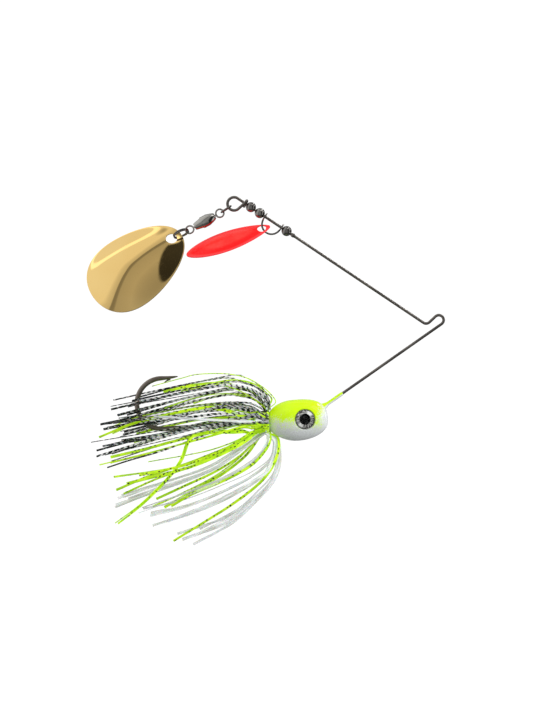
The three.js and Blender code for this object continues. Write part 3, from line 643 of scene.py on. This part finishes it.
def build_head():
    rings = []
    for i in range(1, 180):
        a = math.pi * i / 180
        ring = []
        for j in range(256):
            b = 2 * math.pi * j / 256
            d = V(-math.cos(a), math.sin(a) * math.cos(b), math.sin(a) * math.sin(b))
            ring.append(pressed(d * head_reach(d)))
        rings.append(ring)
    shell = Shell().add(rings)
    keeper_end = -HEAD_LENGTH / 2 + KEEPER_SEAT - KEEPER_LENGTH
    keeper = [V(keeper_end + (KEEPER_LENGTH + 2) * i / 8, 0, 0) for i in range(9)]
    shell.add(*sweep(keeper, lambda s, r: (KEEPER_RADIUS + (0.3 if r < KEEPER_LIP - 0.2 else 0),) * 2, 32))
    shell.moved(lure)
    out = along(LOWER_HEADING + 180)
    sleeve = [nose_exit + out * (-SLEEVE_ROOT + (SLEEVE_LENGTH + SLEEVE_ROOT) * i / 30) for i in range(31)]

    def flare(share, reach):
        r = SLEEVE_RADIUS + 0.5 * (1 - smooth(reach / 2.6)) ** 2 - 0.1 * smooth((reach - 6.6) / 1.2)
        return r, r

    rings, _ = sweep(sleeve, flare, 24)
    above = along(LOWER_HEADING - 90)
    marks = []
    for ring, centre in zip(rings, sleeve):
        marks.append([(SLEEVE_MARK, (p - centre).normalized().dot(above)) for p in ring])
    shell.add(rings, marks)
    shell.build("lead_head_painted", HEAD_PAINT, "frame", ["lead_head"], sharp=60)


build_head()


def disc(radius, low, high):
    edge = 0.04
    profile = [(radius * 0.4, low), (radius - edge, low), (radius, low + edge), (radius, high - edge)]
    return profile + [(radius - edge, high)] + [(radius * (0.95 - 0.09 * i), high) for i in range(10)]


def build_eyes():
    pupil = FOIL + 2 * CAST
    dome = pupil + FOIL + CAST
    ball = (EYE_RADIUS**2 + DOME**2) / (2 * DOME)
    spread = math.asin(EYE_RADIUS / ball)
    cap = [(EYE_RADIUS * 0.5, dome)]
    for i in range(24):
        a = spread * (24 - i) / 24
        cap.append((ball * math.sin(a), dome + DOME - ball * (1 - math.cos(a))))
    for side, label in ((-1, "left"), (1, "right")):
        seat = lure @ Matrix.Translation(V(EYE_FORWARD, side * EYE_FLOOR, EYE_UP))
        if side < 0:
            seat = seat @ Matrix.Rotation(math.pi, 4, "Z")
        for node, look, profile in (
            ("eye_iris", FOIL_LOOK, disc(EYE_RADIUS, CAST, CAST + FOIL)),
            ("eye_pupil", PUPIL_INK, disc(PUPIL_RADIUS, pupil, pupil + FOIL)),
            ("eye_dome", DOME_LOOK, cap),
        ):
            shell = Shell().add(*turned(profile, "y", 72)).moved(seat)
            shell.build(f"{node}_{label}_smooth", look, "frame", [f"{node}_{label}"], sharp=50)


build_eyes()


# ---- Beads, clevis and front blade -----------------------------------------------
def build_beads():
    bore = WIRE_RADIUS + PLAY
    spread = math.asin(bore / BEAD_RADIUS)
    turns = [spread + (math.pi - 2 * spread) * i / 23 for i in range(24)]
    profile = [(BEAD_RADIUS * math.sin(t), -BEAD_RADIUS * math.cos(t)) for t in turns]
    for name, place in zip(("bead_rear", "bead_middle", "bead_front"), BEAD_PLACES):
        shell = Shell().add(lathe(profile), wrap=True).moved(arm @ Matrix.Translation(V(place, 0, 0)))
        shell.build(f"{name}_polished", BEAD_NICKEL, name, [name], sharp=50)


build_beads()


def clevis_point(share):
    half = CLEVIS_LENGTH / 2 - CLEVIS_THICK / 2
    a = math.pi * (1 - share)
    deep = max(0.0, math.sin(a)) ** 0.8
    return V(CLEVIS_START + CLEVIS_LENGTH / 2 + half * math.cos(a), 0, -CLEVIS_DEPTH * deep)


def build_clevis():
    bow = [clevis_point(0.06 + 0.88 * i / 48) for i in range(49)]
    shell = Shell().add(*sweep(bow, lambda s, r: (CLEVIS_THICK * 0.66, CLEVIS_WIDTH / 2), 16))
    for x in (CLEVIS_START, CLEVIS_START + CLEVIS_LENGTH - CLEVIS_THICK):
        bore, out, e = WIRE_RADIUS + PLAY, EYELET_RADIUS, 0.07
        profile = [(bore, x + e), (bore + e, x), (out - e, x), (out, x + e)]
        profile += [(out, x + CLEVIS_THICK - e), (out - e, x + CLEVIS_THICK)]
        profile += [(bore + e, x + CLEVIS_THICK), (bore, x + CLEVIS_THICK - e)]
        shell.add(lathe(profile), wrap=True)
    shell.moved(arm).build("clevis_bent", FITTING_STEEL, "clevis", ["clevis"])


build_clevis()


def drop_half(t):
    return DROP["width"] * math.sqrt(max(0.0, t * (1 - t))) * (0.86 + 0.08 * t + 0.36 * t * t)


def leaf_half(t):
    return LEAF["width"] / 2 * max(0.0, math.sin(math.pi * t**1.12)) ** 0.55


def blade_rings(blade, half, around=160, steps=36):
    """A cupped sheet that runs from the rim of the hole to the outline, front then back."""
    tip, length = -blade["tip"], blade["length"]
    centre = tip + length * blade["belly"]

    def share_of(x, z):
        low, high = 1e-4, 1.0
        for _ in range(26):
            s = (low + high) / 2
            t = (centre + (x - centre) / s - tip) / length
            inside = 0 < t < 1 and abs(z) / s <= half(t)
            low, high = (low, s) if inside else (s, high)
        return high

    def bulge(s):
        return blade["cup"] * max(0.0, 1 - s * s) ** 1.15

    level = bulge(centre / (centre - tip)) - blade["thick"] / 2
    outline = []
    for j in range(around):
        a = 2 * math.pi * j / around
        t = (1 - math.cos(a)) / 2
        outline.append((tip + length * t, math.copysign(half(t), math.sin(a))))
    front, back, marks = [], [], []
    for k in range(steps + 1):
        s = (k / steps) ** 0.9
        ring, under, mark = [], [], []
        for x, z in outline:
            reach = math.hypot(x, z)
            px, pz = mix(blade["hole"] * x / reach, x, s), mix(blade["hole"] * z / reach, z, s)
            share = share_of(px * 0.9999, pz * 0.9999)
            y = level - bulge(share)
            ring.append(V(px, y, pz))
            under.append(V(px, y + blade["thick"], pz))
            mark.append(((px - tip) / length, share))
        front.append(ring)
        back.append(under)
        marks.append(mark)
    return front + back[::-1], marks + marks[::-1]


def build_blade(blade, half, place, inset, name, node, material):
    rings, marks = blade_rings(blade, half)
    shell = Shell().add(rings, marks, wrap=True)
    shell.moved(place @ Matrix.Translation(V(inset, 0, 0)))
    piece = shell.build(name, material, node, [node], sharp=60)
    edge = piece.modifiers.new("rim", "BEVEL")
    edge.width, edge.segments, edge.angle_limit = 0.00009, 3, math.radians(60)


leaf_place = link(WORLD, arm @ clevis_point(LEAF_STATION), LEAF_HEADING, LEAF_ROLL)
leaf_inset = LEAF["hole"] - CLEVIS_THICK / 2 - LEAF_SLACK
build_blade(LEAF, leaf_half, leaf_place, leaf_inset, "front_blade_painted", "front_blade", RED)


# ---- Swivel chain ----------------------------------------------------------------
def joint_place(name):
    joint = next(j for j in frame["joints"] if j["name"] == name)
    return Vector(joint["pos_m"]) * 1000


def build_chain():
    ring = link(WORLD, joint_place("ring_swing"), RING_HEADING)
    ring_seat = WIRE_RADIUS + RING_WIRE + RUN
    shell = Shell().add(torus(RING_RADIUS, RING_WIRE), wrap=True)
    shell.moved(ring @ Matrix.Translation(V(RING_RADIUS - ring_seat, 0, 0)))
    shell.build("swivel_ring_wire", FITTING_STEEL, "swivel_ring", ["swivel_ring"])

    upper = link(ring, V(2 * RING_RADIUS - ring_seat, 0, 0), BARREL_HEADING - RING_HEADING)
    eye_at = EYELET - (RING_WIRE + EYE_WIRE + RUN)
    barrel_at = eye_at + EYELET + NECK
    build_swivel_eye("swivel_upper_eye", upper, eye_at, barrel_at + SHANK_INSIDE, 1)
    barrel = upper @ Matrix.Translation(V(barrel_at, 0, 0))
    build_barrel(barrel)

    lower = link(barrel, V(BARREL_LENGTH, 0, 0), 0, SPLIT_ROLL)
    reach = NECK + EYELET
    build_swivel_eye("swivel_lower_eye", lower, reach, -SHANK_INSIDE, -1)

    bend = SPLIT_HEADING - BARREL_HEADING
    split = link(lower, V(reach, 0, 0) + along(bend, EYELET), bend)
    coil = 4 * SPLIT_WIRE
    inner = EYELET - EYE_WIRE
    seat = EYELET - math.sqrt(inner**2 - (coil / 2) ** 2) + SPLIT_WIRE + RUN
    points = []
    for i in range(145):
        a = 4 * math.pi * i / 144 + math.pi / 2
        lift = max(-SPLIT_WIRE * 1.04, min(SPLIT_WIRE * 1.04, (i / 144 - 0.5) * coil * 2.4))
        points.append(V(SPLIT_RADIUS * math.cos(a), SPLIT_RADIUS * math.sin(a), lift))
    shell = Shell().add(*sweep(points, lambda s, r: (SPLIT_WIRE * 0.96,) * 2, 16, V(0, 0, 1)))
    shell.moved(split @ Matrix.Translation(V(SPLIT_RADIUS - seat, 0, 0)))
    shell.build("split_ring_coil", FITTING_STEEL, "split_ring", ["split_ring"])

    rear = link(split, V(2 * SPLIT_RADIUS - seat, 0, 0), DROP_HEADING - SPLIT_HEADING)
    inset = DROP["hole"] - SPLIT_WIRE - DROP_SLACK
    build_blade(DROP, drop_half, rear, inset, "rear_blade_plated", "rear_blade", GOLD)


def build_swivel_eye(node, place, centre, shank_to, direction):
    shell = Shell().add(torus(EYELET, EYE_WIRE, "y"), wrap=True).moved(Matrix.Translation(V(centre, 0, 0)))
    root = centre + direction * (EYELET - 0.1)
    shank = [V(mix(root, shank_to, i / 10), 0, 0) for i in range(11)]
    shell.add(*sweep(shank, lambda s, r: (EYE_WIRE * (1.0 + 0.25 * (1 - smooth(r / 0.5))),) * 2, 20))
    shell.moved(place).build(f"{node}_wire", NICKEL, node, [node])


def build_barrel(place):
    """A turned barrel: a long flank, a belly, a step and a cone."""
    bore, r, m = EYE_WIRE + PLAY, BARREL_RADIUS, BARREL_MOUTH
    hollow = r - 0.35
    outside = [(0, bore), (0, m * 0.86), (0.012, m * 0.95), (0.07, m * 1.22), (0.2, r * 0.83)]
    outside += [(0.34, r * 0.985), (0.37, r), (0.63, r), (0.645, r * 0.97), (0.65, r * 0.88)]
    outside += [(0.68, r * 0.84), (0.93, m * 1.2), (0.985, m * 1.02), (1, m * 0.92), (1, bore)]
    inside = [(0.92, bore), (0.9, m * 0.85), (0.62, hollow), (0.38, hollow), (0.1, m * 0.9), (0.08, bore)]
    profile = [(radius, share * BARREL_LENGTH) for share, radius in outside + inside]
    shell = Shell().add(lathe(profile, "x", 64), wrap=True).moved(place)
    shell.build("swivel_barrel_turned", NICKEL, "swivel_barrel", ["swivel_barrel"], sharp=28)


build_chain()
for node in ("swivel_upper_bearing", "swivel_lower_bearing"):
    for spot in frame["nodes"][node].material_slots:
        spot.material = FITTING_STEEL


# ---- Skirt -----------------------------------------------------------------------
def build_band():
    inner = KEEPER_RADIUS + 2 * PLAY
    end = -HEAD_LENGTH / 2 + KEEPER_SEAT - KEEPER_LENGTH + KEEPER_LIP
    outer, start, e = inner + BAND_WALL, end + BAND_LENGTH, 0.3
    profile = [(inner, end), (outer - e, end), (outer, end + e)]
    profile += [(outer, start - e), (outer - e, start), (inner, start)]
    shell = Shell().add(lathe(profile), wrap=True).moved(lure)
    shell.build("skirt_band_moulded", BAND_RUBBER, "frame", ["skirt_band"])
    return start


BAND_START = build_band()

# Bundles of strands: each one's kind, how many it holds, how far sideways its strands run, front first,
# and the places (x, z) that they pass on the way to their tips.
BUNDLES = [
    ("chartreuse", 1, (-1.5, -0.5), [(-50.6, -25.6), (-52.2, -22.9), (-55.2, -20.5), (-59.5, -18.2),
        (-66, -17), (-74.7, -17.3), (-80.1, -18.7), (-89, -21.2)]),
    ("chartreuse", 1, (1, 2), [(-51.8, -24.6), (-53.4, -22.6), (-57, -20), (-62, -18.9), (-68, -19.4),
        (-80, -22.5)]),
    ("barred", 7, (-4, 4), [(-52.6, -26.4), (-55.2, -22.6), (-60.5, -20.1), (-66, -19.3), (-82, -22.4),
        (-97.5, -26.3)]),
    ("chartreuse", 2, (-3, 3), [(-54.5, -25.6), (-58, -22.6), (-61, -22.2), (-66, -21.3), (-75, -22.6),
        (-84.4, -25.3)]),
    ("chartreuse", 2, (-5, 5), [(-55, -26), (-59, -23.4), (-64, -21.8), (-70, -21.6), (-77.5, -23.5)]),
    ("barred", 7, (-7, 6), [(-53.6, -27), (-57, -23.6), (-62, -22.4), (-68, -22.6), (-86, -26.4),
        (-99.5, -29.6)]),
    ("barred", 8, (-9, 9), [(-54.4, -28), (-59, -25.6), (-66, -25.2), (-76, -26.6), (-88, -29.2),
        (-102, -31.8)]),
    ("barred", 6, (-10, 8), [(-55, -29.6), (-61, -28.2), (-70, -28.6), (-82, -30.4), (-93, -32),
        (-101.8, -33.4)]),
    ("chartreuse", 3, (-8, 2), [(-56.5, -30), (-60.9, -29.4), (-64.8, -28.1), (-69.4, -27.1),
        (-75, -27.4), (-83, -28.9), (-92.5, -31), (-102, -34.7)]),
    ("chartreuse", 3, (2, 9), [(-57, -30.5), (-64, -30.4), (-74, -31.6), (-84, -34), (-93.5, -36.4)]),
    ("white", 1, (-9.5, -8.5), [(-56, -31.2), (-60.9, -31.2), (-67.6, -30.6), (-74.7, -30.1),
        (-87.9, -29)]),
    ("barred", 7, (-9, 7), [(-56.5, -31), (-62, -31), (-70, -32.2), (-80, -34.6), (-92, -37.6),
        (-103.6, -40.6)]),
    ("barred", 3, (-9, -2), [(-57, -31.6), (-64, -32.4), (-73, -34), (-85, -37.4), (-101.5, -41.2)]),
    ("barred", 1, (-9, -8), [(-58, -32), (-64.1, -32.9), (-72, -35.6), (-80.1, -38.6), (-87.2, -41.1),
        (-96.1, -43.6), (-102.9, -45.8)]),
    ("chartreuse", 3, (-9, -3), [(-57, -32.6), (-62.3, -33.3), (-73, -36), (-83.6, -38.6), (-92, -41),
        (-102.9, -44)]),
    ("chartreuse", 2, (-10, -4), [(-56.6, -34), (-62.3, -37.4), (-69.4, -40.6), (-77.2, -43.2),
        (-90, -46.1)]),
    ("chartreuse", 2, (-9, -2), [(-56.6, -34.4), (-62.3, -38), (-69.4, -41.4), (-78, -44.6), (-88, -46.8),
        (-98.8, -48.8)]),
    ("chartreuse", 2, (-9, 8), [(-56.6, -34.6), (-62.3, -38.6), (-69.4, -42), (-78, -45.4), (-88, -48.6),
        (-97.6, -52.7)]),
    ("chartreuse", 2, (-10, -7), [(-57, -33.6), (-63, -33.8), (-70, -33.6), (-76.3, -34.9),
        (-79.4, -41.9), (-83.3, -47.3), (-91, -55), (-98.8, -61)]),
    ("chartreuse", 3, (3, 9), [(-55.4, -35.2), (-60, -41.5), (-68, -47.5), (-78, -52.4), (-86, -56)]),
    ("white", 7, (-8, 8), [(-54.4, -35), (-61.2, -40), (-69, -45.2), (-76, -48.2), (-86, -51.6),
        (-98, -56)]),
    ("white", 2, (-9, -5), [(-52.8, -35.4), (-53.4, -40), (-57, -44.6), (-66, -50), (-77, -54.4),
        (-90, -59.2)]),
    ("chartreuse", 1, (-8, -7), [(-52.2, -34.9), (-52.5, -37.9), (-54.8, -41.3), (-58.7, -44.9),
        (-66, -48.9), (-76.6, -53.4), (-83.3, -57.2)]),
    ("white", 4, (-4, 8), [(-51.2, -36.7), (-51.5, -43), (-56.1, -47.9), (-63.8, -52.3), (-76.6, -57.8),
        (-89, -60.8)]),
    ("white", 3, (-8, 0), [(-50.9, -38), (-53, -46), (-58.7, -50.8), (-68.9, -56.4), (-79.2, -60.8),
        (-86.2, -63.2)]),
    ("chartreuse", 1, (-5, -4), [(-50.1, -36.1), (-49.7, -40), (-51.7, -45.4), (-56, -50.6),
        (-63.8, -56.5), (-72, -61.6), (-82.3, -67.8)]),
    ("white", 3, (-5, 4), [(-50.2, -37.4), (-49.9, -43.1), (-52, -49.4), (-57, -55), (-63.8, -60.8),
        (-75.6, -67)]),
    ("white", 2, (-3, -1), [(-50, -37.4), (-49.7, -43.4), (-52, -50), (-58, -56.6), (-66, -62.6),
        (-81.8, -68.2)]),
]
STRAND_LOOKS = {"barred": BARRED, "chartreuse": CHARTREUSE, "white": WHITE}


def strand_points(rng, depth, way, loose):
    """From inside the band, forwards under the head, over the band, and then along the bundle's way."""
    root = lure @ V(BAND_START, 0, 0)
    off = V(0, depth * 0.55, way[0][1] - root.z).normalized()

    def beside(back, radius):
        return lure @ V(BAND_START - back, 0, 0) + off * radius

    points = [beside(1.0, KEEPER_RADIUS + 0.65), beside(-0.9, KEEPER_RADIUS + 0.9), beside(-0.5, 3.9)]
    drift = V(rng.uniform(-1, 1), 0, rng.uniform(-1, 1)) * loose
    for i, (x, z) in enumerate(way):
        share = (i + 1) / len(way)
        stand = depth * smooth(share * 1.7) * (1 + 0.12 * math.sin(3 * share + depth))
        flow = share**1.4
        sway = 0.35 * loose * math.sin(5 * share + 3 * depth)
        points.append(V(x + drift.x * 2.4 * flow, stand, z + drift.z * (0.4 + 1.8 * flow) + sway))
    return points, off


def clear_of_band(path):
    """Moves what would pass through the band, beyond the strand's start inside it, out to its surface."""
    inverse, moved = lure.inverted(), []
    for i, point in enumerate(path):
        p = inverse @ point
        radius, least = math.hypot(p.y, p.z), KEEPER_RADIUS + BAND_WALL + 0.65
        beside_band = smooth((BAND_START - p.x + 0.2) / 0.6) * smooth((p.x - BAND_START + 8.5) / 3.5)
        if i > 14 and 0 < radius < least:
            out = mix(radius, least, beside_band) / radius
            p = V(p.x, p.y * out, p.z * out)
        moved.append(lure @ p)
    return moved


def build_skirt():
    rng = random.Random(SKIRT_SEED)
    shells = {kind: Shell() for kind in STRAND_LOOKS}
    number = 0
    for kind, count, (near, far), way in BUNDLES:
        for i in range(count):
            depth = mix(near, far, (i + 0.5) / count) + rng.uniform(-0.5, 0.5)
            loose = LONE_LOOSENESS if count == 1 else LOOSENESS[kind]
            points, off = strand_points(rng, depth, way, loose)
            path = clear_of_band(curve_through(points, 9))
            wide = STRAND_WIDTH[kind] / 2 * rng.uniform(0.8, 1.2)
            lean, spin = rng.uniform(-0.7, 0.7), rng.uniform(-1.6, 1.6)

            def size(share, reach):
                return wide * mix(0.7, 1.0, smooth(share * 5)), STRAND_THICKNESS / 2

            rings, marks = sweep(path, size, 8, off, lambda share: lean + spin * share)
            length, number = marks[-1][0][0], number + 1
            marks = [[(length - u, v + STRAND_STEP * number) for u, v in ring] for ring in marks]
            shells[kind].add(rings, marks)
    for kind, shell in shells.items():
        nodes = [n for n in frame["nodes"] if n.startswith(f"skirt_{kind}")]
        shell.build(f"skirt_strands_{kind}", STRAND_LOOKS[kind], "frame", sorted(nodes), sharp=60)


build_skirt()


# ---- Floor, light and camera -----------------------------------------------------
def build_floor():
    """A pale sweep of paper, well below the lure, that lightens to white."""
    mesh = bpy.data.meshes.new("floor")
    deep, wide, count = -0.16, 4.0, 24
    rows = [(-4.0, deep), (1.2, deep)]
    for i in range(1, count + 1):
        a = math.pi / 2 * i / count
        rows.append((1.2 + math.sin(a), deep + 1 - math.cos(a)))
    rows.append((2.2, 4.0))
    points = [(x, y, z) for y, z in rows for x in (-wide, wide)]
    faces = [(2 * i, 2 * i + 1, 2 * i + 3, 2 * i + 2) for i in range(len(rows) - 1)]
    mesh.from_pydata(points, [], faces)
    mesh.polygons.foreach_set("use_smooth", [True] * len(mesh.polygons))
    look = Look("paper", roughness=0.9, emission_strength=1.0)
    look.feed(look.blend(look.noise(3, 2), (0.05, 0.05, 0.05), (0.07, 0.07, 0.07)), "Base Color")
    look.feed(look.blend(look.noise(3, 2), (0.97, 0.97, 0.97), (1.0, 1.0, 1.0)), "Emission Color")
    mesh.materials.append(look.material)
    floor = bpy.data.objects.new("floor", mesh)
    floor.visible_glossy = floor.visible_diffuse = False
    bpy.context.scene.collection.objects.link(floor)


def area_light(name, place, target, size, power, mirrored):
    """A lamp that faces its target. One that isn't mirrored gives light but doesn't show in gloss."""
    lamp = bpy.data.lights.new(name, "AREA")
    lamp.shape, lamp.size, lamp.size_y, lamp.energy = "RECTANGLE", size[0], size[1], power
    holder = bpy.data.objects.new(name, lamp)
    holder.location = place
    holder.rotation_euler = (target - place).to_track_quat("-Z", "Y").to_euler()
    holder.visible_glossy = mirrored
    bpy.context.scene.collection.objects.link(holder)
    return holder


class Sky(Nodes):
    """The world's nodes, which work on the direction of a ray."""

    def __init__(self, tree):
        super().__init__(tree)
        self.x, self.y, self.z = self.split(self.place.outputs["Generated"])

    def weigh(self, x, y, z, depth=None):
        """A weighted sum of a direction's x, y and z, with depth in y's place if it is given."""
        level = self.math("MULTIPLY_ADD", depth or self.y, y, self.times(self.x, x))
        return self.math("MULTIPLY_ADD", self.z, z, level)

    def levels(self, value, stops):
        made = self.node("ShaderNodeValToRGB")
        elements = made.color_ramp.elements
        elements.remove(elements[1])
        for i, (at, level) in enumerate(stops):
            element = elements[0] if i == 0 else elements.new(at)
            element.position, element.color = at, (level, level, level, 1)
        self.link(value, made.inputs[0])
        return made.outputs[0]

    def background(self, strength):
        made = self.node("ShaderNodeBackground")
        made.inputs[0].default_value = (1, 1, 1, 1)
        if isinstance(strength, float):
            made.inputs[1].default_value = strength
        else:
            self.link(strength, made.inputs[1])
        return made.outputs[0]

    def choose(self, ray, without, on):
        path, made = self.node("ShaderNodeLightPath"), self.node("ShaderNodeMixShader")
        for out, into in zip((path.outputs[ray], without, on), made.inputs):
            self.link(out, into)
        return made.outputs[0]


def build_world():
    """White paper to look at, soft light from above, and for gloss a studio of pale sheets with gaps.

    The sheets are the same in front and behind: bright to the left, dimmer across a slanting gap, dark to
    the right but for a strip, and dark overhead. A lamp stands high on the right in front, and a bright
    seam runs down the left, just behind.
    """
    world = bpy.data.worlds.new("studio")
    bpy.context.scene.world = world
    world.use_nodes = True
    world.node_tree.nodes.clear()
    sky = Sky(world.node_tree)
    soft = sky.background(sky.math("MULTIPLY_ADD", sky.z, 0.42, 0.60))
    level = sky.weigh(0.74, 0.562, -0.368, sky.math("ABSOLUTE", sky.y))
    stops = [(0.0, 0.95), (0.38, 0.92), (0.43, 0.72), (0.49, 0.62), (0.505, 0.24), (0.55, 0.27),
             (0.575, 0.44), (0.80, 0.50), (0.88, 0.42), (1.0, 0.3)]
    sheets = sky.levels(sky.math("MULTIPLY_ADD", level, 0.5, 0.5), stops)
    strip = sky.times(sky.ramp(sky.x, 0.78, 0.84), sky.ramp(sky.x, 0.90, 0.95, 1.0, 0.0))
    card = sky.ramp(sky.math("MULTIPLY_ADD", sky.z, 0.25, sky.x), 0.45, 0.49, 1.0, 0.09)
    right = sky.math("MAXIMUM", card, sky.times(strip, 3.0))
    overhead = sky.ramp(sky.z, 0.985, 0.998, 1.0, 0.3)
    under = sky.ramp(sky.z, -0.75, -0.45, 0.35, 1.0)
    gaps = sky.times(right, overhead, under)
    lamp = sky.ramp(sky.weigh(0.42, -0.38, 0.82), 0.955, 0.985, 0.0, 2.2)
    seam = sky.times(sky.ramp(sky.y, -0.03, 0.02), sky.ramp(sky.y, 0.10, 0.15, 1.5, 0.0))
    seam = sky.times(seam, sky.ramp(sky.x, -0.2, -0.05, 1.0, 0.0), sky.ramp(sky.z, -0.3, -0.1))
    gloss = sky.math("MAXIMUM", sky.times(sheets, gaps), sky.math("MAXIMUM", lamp, seam))
    lit = sky.choose("Is Glossy Ray", soft, sky.background(gloss))
    out = sky.node("ShaderNodeOutputWorld")
    sky.link(sky.choose("Is Camera Ray", lit, sky.background(1.0)), out.inputs[0])


def build_camera():
    """A long lens straight on to the plane of the wire form, framed a little below the lure's middle."""
    view_size, lens, sensor = 0.2204, 150.0, 36.0
    camera = bpy.data.cameras.new("camera")
    camera.lens, camera.sensor_width = lens, sensor
    camera.clip_start, camera.clip_end = 0.05, 20
    holder = bpy.data.objects.new("camera", camera)
    holder.location = (-0.0534, -view_size * lens / sensor, -0.0110)
    holder.rotation_euler = (math.pi / 2, 0, 0)
    bpy.context.scene.collection.objects.link(holder)
    bpy.context.scene.camera = holder


build_floor()
build_world()
build_camera()
middle, crown = V(-0.055, 0, -0.015), V(-0.037, 0, -0.027)
area_light("key", middle + V(-0.4, -0.6, 0.7), middle, (0.5, 0.4), 1.4, False)
area_light("fill", middle + V(0.62, -0.28, 0.12), middle, (0.4, 0.5), 3.1, False)
glint = area_light("glint", crown + V(0.494, 0.28, 0.823) * 0.6, crown, (0.1, 0.1), 0.6, True)
glint.visible_diffuse = False
bpy.context.scene.view_settings.view_transform = "Standard"
